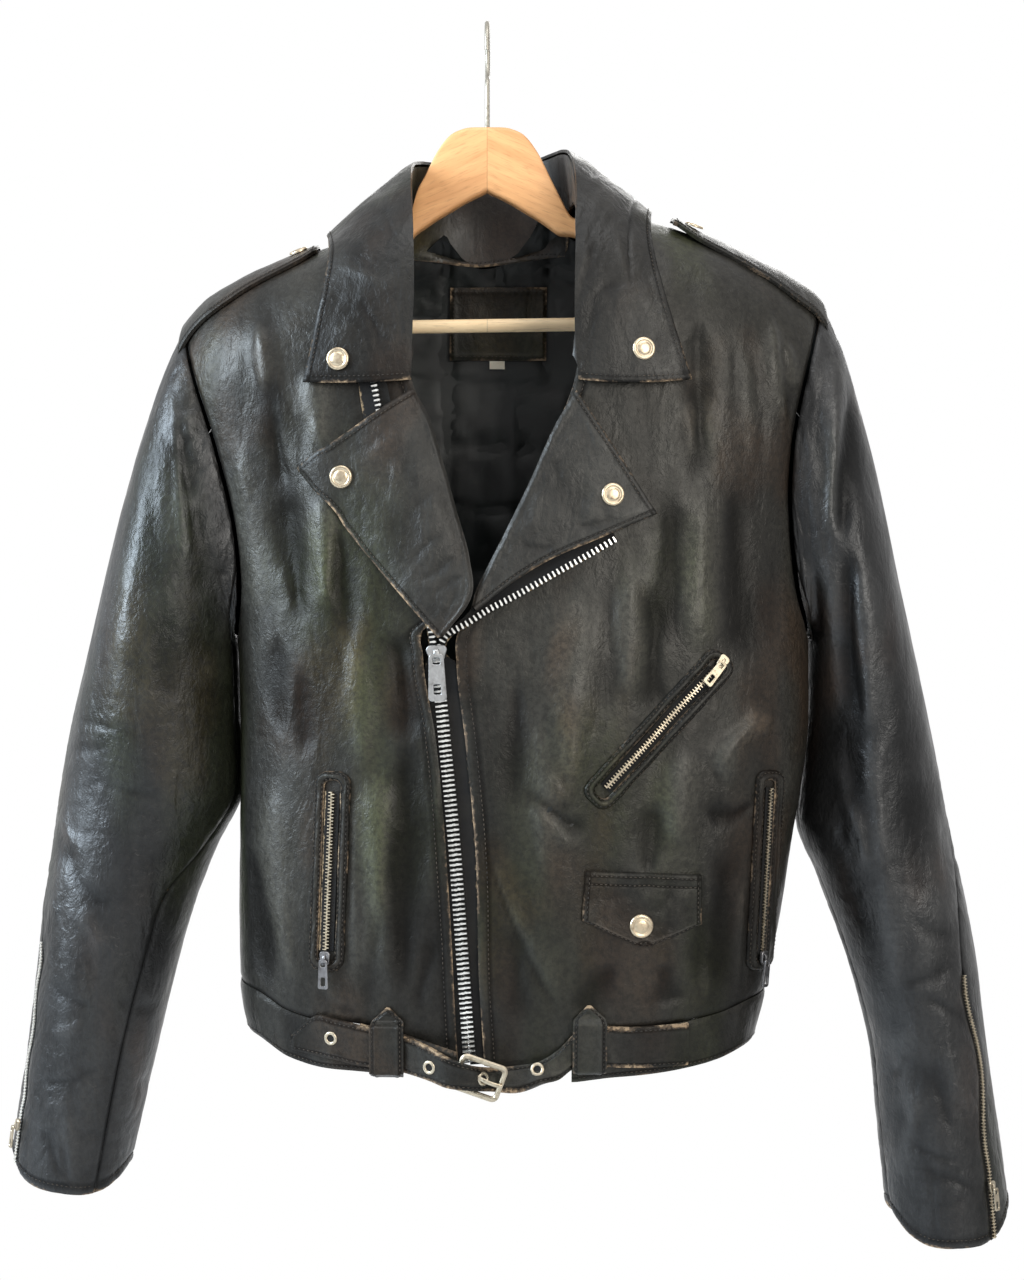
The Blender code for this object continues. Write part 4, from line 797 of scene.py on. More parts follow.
# ---------------------------------------------------------------- materials
class Nodes:
    """A material under construction, its patterns laid out in the object's metres."""

    def __init__(self, name):
        self.material = bpy.data.materials.new(name)
        self.material.use_nodes = True
        self.tree = self.material.node_tree
        self.shader = self.tree.nodes["Principled BSDF"]
        self.place = self.add("ShaderNodeTexCoord").outputs["Object"]

    def add(self, kind, settings=(), inputs=()):
        node = self.tree.nodes.new(kind)
        for key, value in dict(settings).items():
            setattr(node, key, value)
        for key, value in dict(inputs).items():
            self.put(node.inputs[key], value)
        return node

    def put(self, socket, value):
        if isinstance(value, bpy.types.NodeSocket):
            self.tree.links.new(value, socket)
        else:
            socket.default_value = value

    def layer(self, name):
        return self.add("ShaderNodeAttribute", {"attribute_name": name}).outputs["Fac"]

    def stretched(self, scale):
        return self.add("ShaderNodeMapping", {}, {"Vector": self.place, "Scale": scale}).outputs["Vector"]

    def noise(self, scale, detail=3.0, stretch=None, rough=0.55, bend=0.0):
        place = self.stretched(stretch) if stretch else self.place
        inputs = {"Vector": place, "Scale": scale, "Detail": detail, "Roughness": rough, "Distortion": bend}
        return self.add("ShaderNodeTexNoise", {}, inputs).outputs["Fac"]

    def cells(self, scale, feature="F1", stretch=None):
        place = self.stretched(stretch) if stretch else self.place
        node = self.add("ShaderNodeTexVoronoi", {"feature": feature}, {"Vector": place, "Scale": scale})
        return node.outputs["Distance"]

    def sum(self, kind, a, b=0.0, clamp=False):
        node = self.add("ShaderNodeMath", {"operation": kind, "use_clamp": clamp})
        self.put(node.inputs[0], a)
        self.put(node.inputs[1], b)
        return node.outputs[0]

    def between(self, value, low, high, first=0.0, last=1.0):
        inputs = {"Value": value, "From Min": low, "From Max": high, "To Min": first, "To Max": last}
        return self.add("ShaderNodeMapRange", {"interpolation_type": "SMOOTHSTEP"}, inputs).outputs["Result"]

    def mix(self, share, first, last, kind="MIX"):
        node = self.add("ShaderNodeMix", {"data_type": "RGBA", "blend_type": kind})
        self.put(node.inputs["Factor"], share)
        for key, colour in (("A", first), ("B", last)):
            socket = next(s for s in node.inputs if s.name == key and s.type == "RGBA")
            self.put(socket, colour if isinstance(colour, bpy.types.NodeSocket) else (*colour, 1))
        return next(s for s in node.outputs if s.type == "RGBA")

    def bump(self, height, depth, strength=1.0, below=None):
        inputs = {"Height": height, "Distance": depth * MM, "Strength": strength}
        if below is not None:
            inputs["Normal"] = below
        return self.add("ShaderNodeBump", {}, inputs).outputs["Normal"]

    def finish(self, **sockets):
        for key, value in sockets.items():
            value = (*value, 1) if isinstance(value, tuple) else value
            self.put(self.shader.inputs[key.replace("_", " ")], value)
        return self.material


TAN = (0.27, 0.195, 0.125)
HIDE = (0.085, 0.062, 0.043)


def leather(name, dark, warm, rough, gloss=0.3, wrinkles=1.0, tint=(1.0, 1.0, 1.0)):
    """Creased cowhide with bare hide where it is worn. Its colour is painted shade, dark and dull, in its
    hollows, and painted highlight, warm and lighter, on its folds and in long vertical bands.
    """
    n = Nodes(name)
    wear, dent = n.layer("wear"), n.layer("dent")
    # height: the crease depth plus long vertical noise bands; it drives the painted shade and painted
    # highlight below
    height = n.sum("ADD", dent, n.sum("MULTIPLY", n.sum("SUBTRACT", n.noise(19, 4, (1, 1, 0.2)), 0.5), 4.2))
    # darker in the hollows, lighter on the folds and bands: painted shade and painted highlight
    colour = n.mix(n.between(height, -1.6, 2.4), dark, warm)
    # painted highlight on the highest folds and bands
    colour = n.mix(n.between(height, 1.0, 4.0, 0.0, 0.6), colour, tuple(c * 1.5 for c in warm))
    # painted shade in the deepest hollows
    colour = n.mix(n.between(height, -6.0, -1.4, 0.5, 0.0), colour, tuple(c * 0.4 for c in dark))
    colour = n.mix(n.between(n.noise(9, 2, (1, 1, 0.3)), 0.50, 0.64), colour, (1.15, 1.30, 0.80), "MULTIPLY")
    colour = n.mix(n.between(n.noise(14, 2, (1, 1, 0.5)), 0.52, 0.66), colour, (1.35, 1.02, 0.85), "MULTIPLY")
    mottle = n.between(n.noise(260, 4, rough=0.7), 0.35, 0.68, 0.0, 0.6)
    colour = n.mix(mottle, colour, tuple(c * 0.4 for c in dark))
    scuff = n.noise(330, 4)
    rub = n.sum("ADD", wear, n.sum("MULTIPLY", n.sum("SUBTRACT", scuff, 0.5), 1.7))
    colour = n.mix(n.between(rub, 0.42, 0.78), colour, HIDE)
    colour = n.mix(n.between(rub, 0.84, 1.05), colour, TAN)
    fleck = n.between(n.noise(700, 2), 0.76, 0.80)
    fleck = n.sum("MULTIPLY", fleck, n.between(n.noise(28, 2), 0.55, 0.7))
    colour = n.mix(n.sum("MULTIPLY", fleck, 0.4), colour, TAN)
    soft = n.noise(52, 3, (1.0, 1.0, 0.45), 0.5, 0.8)
    wrinkle = n.noise(190, 4, (1.0, 1.0, 0.75), 0.6, 1.4)
    normal = n.bump(soft, 1.3 * wrinkles)
    normal = n.bump(wrinkle, 0.45 * wrinkles, 1.0, normal)
    normal = n.bump(n.cells(800), 0.10, 0.7, normal)
    shine = n.between(n.noise(60, 4, (1, 1, 0.5)), 0.3, 0.7, rough - 0.06, rough + 0.10)
    shine = n.sum("ADD", shine, n.between(rub, 0.4, 0.9, 0.0, 0.3))
    # specular level lowered in the hollows and raised on the folds: painted shade and painted highlight of
    # the reflections
    level = n.between(height, -3.6, 2.4, gloss * 0.3, gloss * 1.3)
    n.finish(Base_Color=colour, Roughness=shine, Normal=normal, Specular_IOR_Level=level, Specular_Tint=tint)
    return n.material


def woven(name, colour, other, scale, rough, depth=0.12, gloss=0.3, frayed=None):
    """Cloth of crossed threads, paler where it is frayed."""
    n = Nodes(name)
    wave = {"Vector": n.place, "Scale": scale, "Distortion": 0.6, "Detail": 1.0}
    warp = n.add("ShaderNodeTexWave", {"bands_direction": "X"}, wave).outputs["Fac"]
    weft = n.add("ShaderNodeTexWave", {"bands_direction": "Z"}, wave).outputs["Fac"]
    threads = n.sum("MULTIPLY", warp, weft)
    shade = n.mix(n.between(n.noise(45, 4), 0.35, 0.7), colour, other)
    if frayed:
        loose = n.sum("ADD", n.layer("wear"), n.sum("MULTIPLY", n.sum("SUBTRACT", n.noise(300, 4), 0.5), 1.6))
        shade = n.mix(n.between(loose, 0.4, 0.8), shade, frayed)
    normal = n.bump(threads, depth, 0.8)
    n.finish(Base_Color=shade, Roughness=rough, Normal=normal, Specular_IOR_Level=gloss)
    return n.material


def metal(name, colour, tarnish, rough, dirty=0.5):
    """Worn plating with dull spots and fine scratches."""
    n = Nodes(name)
    spots = n.between(n.noise(240, 5), 0.62 - 0.2 * dirty, 0.78)
    shade = n.mix(n.sum("MULTIPLY", spots, 0.8), colour, tarnish)
    shine = n.between(n.noise(500, 3), 0.3, 0.7, rough - 0.06, rough + 0.12)
    normal = n.bump(n.noise(260, 3), 0.05, 0.5)
    n.finish(Base_Color=shade, Roughness=shine, Normal=normal, Metallic=1.0)
    return n.material


def timber(name, pale, deep, turn):
    """Straight-grained hardwood; the arms slope away from the middle joint."""
    n = Nodes(name)
    split = n.add("ShaderNodeSeparateXYZ", {}, {"Vector": n.place})
    away = n.sum("ABSOLUTE", split.outputs["X"])
    across = n.sum("ADD", split.outputs["Z"], n.sum("MULTIPLY", away, turn))
    side = n.sum("MULTIPLY", n.sum("SIGN", split.outputs["X"]), 3.7)
    up = n.sum("MULTIPLY", split.outputs["Y"], 0.6)
    inputs = {"X": n.sum("MULTIPLY", away, 0.11), "Y": up, "Z": across}
    along_grain = n.add("ShaderNodeCombineXYZ", {}, inputs).outputs[0]
    shifted = n.add("ShaderNodeVectorMath", {"operation": "ADD"}, {0: along_grain})
    offset = n.add("ShaderNodeCombineXYZ", {}, {"X": side}).outputs[0]
    n.put(shifted.inputs[1], offset)
    grain = {"Vector": shifted.outputs[0]}
    streak = n.add("ShaderNodeTexNoise", {}, {**grain, "Scale": 760, "Detail": 4, "Roughness": 0.6})
    bands = n.add("ShaderNodeTexNoise", {}, {**grain, "Scale": 120, "Detail": 3, "Distortion": 0.5})
    colour = n.mix(n.between(bands.outputs["Fac"], 0.30, 0.80), pale, deep)
    streaked = n.sum("MULTIPLY", n.between(streak.outputs["Fac"], 0.50, 0.72), 0.5)
    colour = n.mix(streaked, colour, tuple(c * 0.62 for c in deep))
    joint = n.between(away, 0.0002, 0.0006, 1.0, 0.0)
    colour = n.mix(n.sum("MULTIPLY", joint, 0.35), colour, tuple(c * 0.4 for c in deep))
    fine = n.bump(streak.outputs["Fac"], 0.06, 0.5)
    n.finish(Base_Color=colour, Roughness=0.46, Normal=fine, Specular_IOR_Level=0.4)
    return n.material


def make_materials():
    black, brown = (0.0095, 0.0089, 0.0081), (0.0315, 0.0298, 0.0245)
    sleeve_black, sleeve_brown = (0.0085, 0.0084, 0.0084), (0.0225, 0.0220, 0.0210)
    return {
        "leather": leather("worn_leather", black, brown, 0.37, 0.22, 1.0, (1.0, 0.98, 0.95)),
        "sleeve": leather("worn_leather_sleeve", sleeve_black, sleeve_brown, 0.35, 0.33, 1.2,
                          (0.96, 0.97, 1.0)),
        "collar": leather("worn_leather_collar", (0.0085, 0.0079, 0.0072), (0.0215, 0.0195, 0.0160), 0.40,
                          0.24, 1.3),
        "lapel": leather("worn_leather_lapel", (0.0125, 0.0118, 0.0104), (0.0270, 0.0250, 0.0205), 0.42,
                         0.30, 1.2),
        # The facing's colours are about twice those of the body's leather: painted light for the inside of
        # the neck, which the lamps barely reach.
        "facing": leather("worn_leather_facing_painted_light", (0.0220, 0.0205, 0.0190), (0.0410, 0.0375, 0.0330), 0.45,
                          0.45, 1.0),
        "flesh": woven("leather_inside", (0.020, 0.018, 0.016), (0.032, 0.027, 0.022), 900, 0.9),
        "lining": woven("black_satin", (0.0022, 0.0027, 0.0026), (0.0048, 0.0070, 0.0063), 1500, 0.32, 0.03,
                        0.32),
        "tape": woven("zip_tape", (0.0075, 0.0075, 0.0080), (0.014, 0.013, 0.012), 1100, 0.85, 0.12, 0.2,
                      (0.26, 0.19, 0.115)),
        "thread": woven("black_thread", (0.016, 0.014, 0.012), (0.050, 0.038, 0.027), 2500, 0.7, 0.05),
        "cap": metal("worn_nickel_caps", (0.45, 0.37, 0.265), (0.22, 0.165, 0.11), 0.33, 0.5),
        "teeth": metal("bright_teeth", (0.74, 0.73, 0.70), (0.30, 0.28, 0.25), 0.30, 0.3),
        "brassy": metal("brassy_teeth", (0.50, 0.43, 0.32), (0.15, 0.12, 0.085), 0.36, 0.7),
        "zinc": metal("grey_zinc", (0.34, 0.34, 0.34), (0.15, 0.145, 0.135), 0.38, 0.7),
        "dull": metal("dull_zinc", (0.20, 0.195, 0.20), (0.09, 0.085, 0.08), 0.36, 0.7),
        "nickel": metal("old_nickel", (0.42, 0.365, 0.28), (0.17, 0.135, 0.09), 0.34, 0.7),
        "steel": metal("hook_wire", (0.30, 0.28, 0.24), (0.13, 0.11, 0.09), 0.45, 0.7),
        # The tab's ivory is its own colour, raised further as painted light for the shade inside the neck.
        "tag": woven("ivory_tab", (0.86, 0.81, 0.69), (0.74, 0.68, 0.55), 1400, 0.85),
        "wood": timber("hanger_hardwood", (0.72, 0.385, 0.170), (0.56, 0.265, 0.105), 0.42),
        # The bar's wood is pale of its own and lightened further almost to white: painted light for the shade
        # inside the neck.
        "bar": timber("hanger_bar_wood", (0.98, 0.76, 0.48), (0.94, 0.68, 0.40), 0.0),
    }

# ---------------------------------------------------------------- creases of the body
# x and height of one end, x and height of the other, sideways bow, half width, height (a trough is below 0)
FRONT_CREASES = [
    # right front
    (-159, -222, -153, -279, 0, 4.5, 2.0), (-150, -262, -139, -350, 2, 6, -2.4),
    (-139, -335, -128, -440, 0, 8, -1.8),
    (-120, -258, -114, -318, 1, 8, 1.6), (-114, -345, -109, -430, 0, 9, 1.8),
    (-103, -362, -91, -450, 1, 7, -1.6),
    (-172, -300, -160, -440, 3, 10, 1.2), (-61, -440, -52, -520, -1, 7, -2.4),
    (-52, -500, -56, -694, 1, 9, -2.4),
    (-76, -535, -73, -645, 0, 8, 1.8), (-92, -570, -89, -680, 0, 4, 0.9), (-152, -540, -134, -690, 4, 9, 1.5),
    (-166, -590, -152, -696, 0, 7, -1.5), (-48, -704, -31, -646, -2, 5, -1.7),
    (-37, -640, -34, -530, 0, 5, 1.2),
    (-128, -465, -123, -530, 0, 7, -1.2), (-90, -440, -84, -540, 0, 8, 1.2),
    (-146, -440, -142, -520, 2, 7, -1.0),
    (-72, -640, -80, -704, 2, 5, -1.0), (-118, -690, -86, -704, 2, 3, -0.8),
    # left front
    (199, -214, 209, -300, 0, 5, 2.0), (211, -236, 218, -275, 0, 4.5, 1.6),
    (205, -235, 214, -295, 0, 3.5, -1.3),
    (148, -220, 146, -268, 0, 4.5, -1.2), (146, -258, 148, -340, 0, 7, -1.2),
    (139, -276, 145, -330, 0, 6, 1.4),
    (180, -240, 186, -330, 0, 5, 1.0), (172, -236, 174, -300, 0, 4, -0.8),
    (153, -340, 148, -460, 2, 12, 1.7), (128, -340, 126, -460, 0, 9, -1.5),
    (172, -330, 178, -470, 0, 12, -1.5),
    (99, -395, 99, -495, 0, 8, 1.5), (85, -405, 83, -505, 0, 6, -1.4), (62, -405, 58, -565, 0, 13, 1.5),
    (114, -405, 116, -505, 0, 7, -1.3), (36, -490, 42, -612, 2, 6, 1.5), (22, -470, 19, -565, 0, 7, -1.2),
    (-4, -575, 54, -708, 6, 2.2, -1.3), (2, -582, 60, -700, 6, 6, 0.9), (26, -545, 72, -580, 4, 4.5, -2.2),
    (37, -536, 64, -562, 2, 4.5, 1.5), (53, -538, 55, -568, 0, 2.5, -1.3), (30, -556, 66, -592, 4, 4, 1.0),
    (137, -522, 133, -592, 3, 11, 1.9), (118, -556, 110, -612, 0, 7, -1.2),
    (158, -543, 202, -498, -6, 8, 2.4),
    (150, -566, 188, -560, 6, 6, -2.8), (166, -588, 160, -694, 0, 9, -1.6),
    (148, -600, 147, -694, 0, 5, -1.3),
    (179, -610, 177, -690, 0, 6, 1.4), (92, -668, 60, -706, 0, 8, -1.1), (122, -668, 128, -702, 0, 8, -1.0),
    (155, -640, 153, -700, 0, 4, 1.0), (-8, -620, 2, -710, 0, 6, 0.9), (20, -640, 24, -712, 0, 7, -0.9),
]
BACK_CREASES = [
    (-125, -230, -112, -420, 4, 12, -1.8), (-70, -250, -62, -520, 2, 12, 1.8),
    (10, -240, 14, -640, 0, 12, -1.3),
    (84, -250, 92, -500, 2, 12, 1.9), (150, -230, 150, -430, 0, 10, -1.9), (205, -300, 210, -480, 0, 9, 1.7),
    (-165, -430, -125, -664, 8, 10, -1.6), (40, -420, 52, -694, 0, 11, 1.7),
    (122, -450, 112, -694, 0, 11, -1.6),
    (-104, -560, -74, -700, 0, 9, 1.6), (44, -322, 160, -352, -10, 9, -0.5),
    (-165, -322, -48, -346, -8, 9, -0.5),
    (-42, -600, 62, -612, 5, 6, -0.5), (-152, -640, -60, -656, 4, 5, -0.6), (90, -640, 190, -656, 4, 5, -0.6),
    (-176, -300, -150, -380, 3, 5, 1.4), (196, -250, 176, -330, 3, 5, -1.2),
    (-30, -500, -24, -690, 0, 8, -1.3),
    (170, -520, 160, -690, 2, 9, 1.5), (-190, -250, -168, -310, 2, 4, -1.2), (0, -190, 96, -196, -5, 6, -0.8),
]
# Hard pieces rest on flat cloth: x, height, reach
CALM = [(-33, -457, 15), (-109.6, -666, 10), (192, -670, 10), (161.8, -462.5, 10), (106, -643, 15),
        (-4, -742, 20)]
BROAD = 7.0


def calmed(lift, x, z, face):
    if face == FRONT:
        for at_x, at_z, reach in CALM:
            lift = lift * (1 - np.exp(-(((x - at_x) ** 2 + (z - at_z) ** 2) / reach**2)))
    return lift


def swell(x, z, face):
    """Height of the broad creases, which all that lies on the body follows."""
    x, z = np.broadcast_arrays(x, z)
    table = [row for row in (FRONT_CREASES if face == FRONT else BACK_CREASES) if row[5] >= BROAD]
    return calmed(1.9 * creases(x, z, table) + 0.8 * noise(x / 27 + 9, z / 150, face), x, z, face)


def covered(x, z):
    """How far a place of the front is covered by a piece that lies on it, from 0 to 1."""
    found = np.zeros(x.shape)
    for x1, z1, x2, z2, half in POCKETS.values():
        length = math.hypot(x2 - x1, z2 - z1)
        t = np.clip(((x - x1) * (x2 - x1) + (z - z1) * (z2 - z1)) / length**2, 0, 1)
        away = np.hypot(x - x1 - t * (x2 - x1), z - z1 - t * (z2 - z1))
        found = np.maximum(found, np.clip((half + 5 - away) / 4, 0, 1))
    inside = np.clip((x - 60) / 5, 0, 1) * np.clip((153 - x) / 5, 0, 1)
    inside = inside * np.clip((-600 - z) / 5, 0, 1) * np.clip((z + 664) / 5, 0, 1)
    return np.maximum(found, inside)


def relief(x, z, face):
    """Height of the narrow creases, and of the leather's fine waviness, over the body's form."""
    x, z = np.broadcast_arrays(x, z)
    table = [row for row in (FRONT_CREASES if face == FRONT else BACK_CREASES) if row[5] < BROAD]
    lift = creases(x, z, table) + 0.30 * noise(x / 17, z / 46, face + 5)
    lift = lift + 0.16 * noise(x / 7.5, z / 17, face + 9)
    if face == FRONT:
        lift = np.where(lift > 0, lift * (1 - covered(x, z)), lift)
    lift = lift * np.clip((SHOULDER(x) - z) / 40, 0.25, 1)
    return calmed(lift, x, z, face)


# ---------------------------------------------------------------- cloth
THREADS = []


def stitch(points, normals, pitch=3.3, long=2.1, thick=0.36, lift=0.12):
    """Notes stitches at an even pitch along a line; they become one mesh at the end."""
    reach = np.r_[0, np.cumsum(np.linalg.norm(np.diff(points, axis=0), axis=1))]
    if reach[-1] < 2 * pitch:
        return
    at = np.arange(pitch / 2, reach[-1] - pitch / 4, pitch)

    def place(s):
        return np.stack([np.interp(s, reach, points[:, axis]) for axis in range(3)], -1)

    out = unit(np.stack([np.interp(at, reach, normals[:, axis]) for axis in range(3)], -1))
    THREADS.append((place(at - long / 2), place(at + long / 2), out, thick, lift))


def worked(grid, borders, seed, normals=None, grain=0.16):
    """Cloth brought to life: its borders turned under, sunk at seams and puckered along them.

    borders: border name to (kind, pucker height); kind seam sinks, edge is turned and worn.
    """
    normals = grid_normals(grid) if normals is None else normals
    lift = np.zeros(grid.shape[:2])
    wear = np.zeros(grid.shape[:2])
    for border, (kind, pucker, *rub) in borders.items():
        away = from_border(grid, border)
        along_it = from_border(grid, "first" if border in ("left", "right") else "left")
        deep, reach = (1.0, 2.2) if kind == "seam" else (0.7, 1.4)
        lift -= deep * np.exp(-((away / reach) ** 2))
        if kind == "edge":
            lift += 0.55 * np.exp(-(((away - 3.4) / 1.7) ** 2))
        if pucker:
            wave = np.maximum(noise(along_it / 6.5, 0 * away + seed, seed), -0.2)
            wave = wave + 0.6 * noise(along_it / 3.6, away / 9, seed + 2)
            lift -= pucker * np.exp(-away / 9) * (1 - np.exp(-away / 2)) * (0.5 + wave)
        amount = rub[0] if rub else (0.8 if kind == "edge" else 0.2)
        patchy = 0.65 + 0.5 * noise(along_it / 23, 0 * away, seed + 7)
        wear += amount * 1.25 * patchy * np.exp(-((away / (1.9 if amount <= 1 else 2.9)) ** 2))
    u, v = from_border(grid, "left"), from_border(grid, "first")
    lift += grain * (ridged(u / 9 + seed, v / 11, seed) + 0.4)
    return grid + normals * lift[..., None], np.clip(wear, 0, 1)


def with_lines(grid, normals, lines, depth=0.6):
    """Sinks a groove along each line of stitches: border and inset."""
    for border, inset in lines:
        away = from_border(grid, border)
        grid = grid - normals * (depth * np.exp(-(((away - inset) / 1.2) ** 2)))[..., None]
    return grid


def painted_seam_shade(dent, grid, lines, half=0.8, depth=4.0):
    """The dent deepened along seams and stitch lines, where the leather shows it dark as painted shade:
    border and inset.
    """
    for border, inset in lines:
        dent = dent - depth * np.exp(-(((from_border(grid, border) - inset) / half) ** 2))
    return dent


def sew(grid, border, inset, start=0.0, end=0.0, **options):
    normals = grid_normals(grid)
    stitch(*cut_line(*inset_line(grid, normals, border, inset), start, end), **options)


def make_fronts():
    for side in (RIGHT, LEFT):
        columns = 105 if side == RIGHT else 125
        grid = front_grid(side, columns, 290)
        opening, outer = ("right", "left") if side == RIGHT else ("left", "right")
        small = relief(grid[..., 0], grid[..., 2], FRONT)
        dent = small + swell(grid[..., 0], grid[..., 2], FRONT)
        borders = {opening: ("edge", 0.25, 0.75), outer: ("seam", 0.45), "first": ("seam", 0.35),
                   "last": ("seam", 0.2)}
        normals = grid_normals(grid)
        done, wear = worked(grid + normals * small[..., None], borders, side + 3.0)
        done = with_lines(done, normals, [(opening, 7.5)])
        dent = painted_seam_shade(dent, grid, [(opening, 7.5), (outer, 0), ("first", 0)], 1.5, 3.0)
        sew(done, opening, 7.5, 4, 150)
        name = "front_" + SIDE_NAMES[side]
        shell("shell_" + name, done, LEATHER, ("leather", "lining"), "leather",
              wear, dent, replaces=[name])


def make_back():
    grid = back_grid(150, 240)
    small = relief(grid[..., 0], grid[..., 2], BACK)
    dent = small + swell(grid[..., 0], grid[..., 2], BACK)
    borders = {"left": ("seam", 0.45), "right": ("seam", 0.45), "first": ("seam", 0.35),
               "last": ("seam", 0.2)}
    done, wear = worked(grid + grid_normals(grid) * small[..., None], borders, 11.0)
    shell("shell_back", done, LEATHER, ("leather", "lining"), "leather", wear, dent, replaces=["back"])


def make_lining():
    grid = back_grid(120, 130, neck_lift=1.0, foot=3.0, reach=0.92)[:-2]
    x, z = grid[..., 0], grid[..., 2]
    x = LINING_MIDDLE + (x - LINING_MIDDLE) * (1 - LINING_NARROWS * np.clip((z + 192) / 20, 0, 1))
    grid = on_body(x, z, 0 * x - LEATHER - LINING_GAP, BACK)
    quilt = np.zeros(x.shape)
    for phase, gap in ((x - 8, 39.0), (z + 20 + 0.06 * x, 47.0)):
        off = (phase / gap - np.round(phase / gap)) * gap
        quilt += 2.0 * np.exp(-np.abs(off) / 2.4)
    rumple = 1.1 * noise(x / 18, z / 30, 3) + 0.8 * noise(x / 8, z / 13, 4) + 0.4 * noise(x / 4, z / 5, 6)
    seen = (grid - grid_normals(grid) * (LINING + 0.6 + rumple - quilt)[..., None])[:, ::-1]
    shell("shell_lining_back", seen, 0.5, ("lining", "lining"), "lining", 0.0, 0.0,
          replaces=["lining_back"])

# ---------------------------------------------------------------- sleeves
# x and height of both ends, bow, half width, height of each crease, on the front half
SLEEVE_CREASES = {
    RIGHT: [
        (-223, -268, -217, -318, 0, 4, 1.6), (-217, -310, -207, -402, 2, 4.5, 1.8),
        (-213, -284, -209, -306, 0, 5, 1.6),
        (-217, -290, -205, -354, 0, 5, -1.7), (-205, -345, -198, -420, 0, 8, -1.7),
        (-206, -300, -196, -296, 1, 1.6, -0.9),
        (-207, -330, -193, -318, 1, 1.5, -1.0), (-200, -352, -190, -340, -1, 1.5, -0.9),
        (-194, -375, -186, -370, 1, 1.5, -0.8),
        (-190, -400, -183, -398, 1, 1.5, -0.8), (-226, -262, -215, -252, 1, 1.5, -0.9),
        (-236, -330, -232, -420, 0, 8, -1.3),
        (-250, -380, -254, -470, 0, 9, 1.3), (-187, -428, -194, -485, 0, 8, 1.6),
        (-222, -420, -226, -500, 0, 10, -1.3),
        (-236, -440, -236, -500, 0, 5, 1.1), (-268, -430, -276, -520, 0, 9, -1.1),
        (-300, -500, -236, -512, 3, 3, -0.7),
        (-310, -530, -262, -526, -3, 2.5, -0.7), (-280, -545, -226, -556, 3, 3, -0.7),
        (-306, -566, -282, -600, 5, 5, 1.0),
        (-300, -590, -262, -640, 8, 7, -1.3), (-296, -600, -310, -650, 4, 8, 1.5),
        (-288, -636, -268, -668, 0, 6, 1.3),
        (-322, -640, -326, -700, 0, 5, -1.2), (-308, -690, -276, -706, 4, 4, -0.9),
        (-310, -726, -284, -716, 3, 3, 0.9),
        (-318, -760, -272, -748, 5, 3.5, -1.0), (-316, -776, -290, -770, 2, 3, 0.9),
        (-314, -790, -300, -830, 0, 4, -1.0),
        (-296, -780, -292, -832, 0, 4, 0.9), (-250, -760, -234, -790, 2, 5, -1.0),
        (-262, -700, -236, -712, 3, 4, -0.9),
    ],
    LEFT: [
        (251, -224, 241, -384, 1, 6, 3.0), (262, -262, 250, -384, 1, 7, -3.4),
        (240, -378, 251, -515, 0, 6.5, 3.0),
        (253, -376, 259, -520, 0, 6.5, -4.2), (263, -384, 271, -520, 0, 7, 2.6),
        (258, -500, 262, -580, 0, 8, -2.6),
        (271, -505, 282, -620, 0, 7, 2.0), (281, -600, 292, -700, 0, 8, 1.6),
        (252, -556, 268, -612, -4, 4, 1.6),
        (244, -540, 256, -600, 0, 5, -1.4), (232, -300, 244, -292, 1, 1.6, -1.0),
        (228, -318, 246, -312, 3, 1.6, -1.0),
        (226, -342, 244, -352, -2, 2, -0.9), (224, -372, 238, -366, 1, 1.6, -0.8),
        (240, -248, 250, -244, -1, 1.5, -1.0),
        (224, -386, 236, -440, 2, 4.5, 1.6), (232, -400, 240, -450, 0, 4, -1.6),
        (300, -540, 312, -640, 0, 12, -1.2),
        (318, -560, 326, -660, 0, 9, 1.2), (300, -640, 340, -660, 6, 4, -0.8),
        (292, -690, 330, -676, 4, 5, -1.2),
        (296, -716, 302, -790, 2, 6, 1.6), (310, -760, 296, -840, 2, 6, 1.5),
        (304, -700, 350, -730, -5, 5, -1.2),
        (296, -800, 336, -816, 4, 3, -1.0), (300, -822, 350, -840, -3, 3, -0.9),
        (326, -730, 350, -790, 4, 7, 1.2),
        (314, -740, 330, -800, 0, 6, -1.3), (290, -760, 300, -740, 2, 3, -0.9),
        (330, -600, 352, -606, 2, 3, -0.7),
    ],
}
ZIP_WAVE = {RIGHT: (2.2, 26.0), LEFT: (2.0, 48.0)}
CUFF_SLIDER = {RIGHT: -805.0, LEFT: -840.0}


def zip_wave(side, height):
    """How far the cuff's zip wanders sideways, still at its top and its slider."""
    size, pitch = ZIP_WAVE[side]
    top, low = ZIP_TOP[side], CUFF_SLIDER[side]
    fade = np.clip((top - height) / 15, 0, 1) * np.clip((height - low) / 25, 0, 1)
    return size * np.sin((height - top) / pitch * 2 * math.pi / 2) * fade


def sleeve_sheet(side, first, last, columns):
    """Fine outer points of a sleeve piece between two seams, each row's height with them."""
    cap = np.linspace(0, 1, 62)[:-1, None]
    heights = np.linspace(455, -CUFF[side][0], 165)[:, None]
    share = np.linspace(0, 1, columns)[None, :]
    sheets = []
    for row, height in ((cap, -455 + (1 - cap) * 200), (heights, -heights)):
        seams = SEAMS[side](height)
        inner, outer, _, depth = SLEEVES[side](height)
        around = math.pi * ((outer - inner) * side / 2 + depth)
        opened = np.clip((ZIP_TOP[side] + 3 - height) / 12, 0, 1)
        seams[1] = seams[1] + zip_wave(side, height) / around
        gaps = [(SEAM_GAP / 2 + 0.1) / around, (SEAM_GAP / 2 + 0.1 + (CHAIN_HALF - 0.5) * opened) / around]
        start = seams[first] + gaps[first]
        end = seams[last] + (1 if last < first else 0) - gaps[last]
        place = start + (end - start) * share
        if row is cap:
            sheets.append(cap_points(side, row, place))
        else:
            sheets.append(sleeve_ring(side, height, place))
    grid = np.concatenate(sheets)
    return grid if side == RIGHT else grid[:, ::-1]


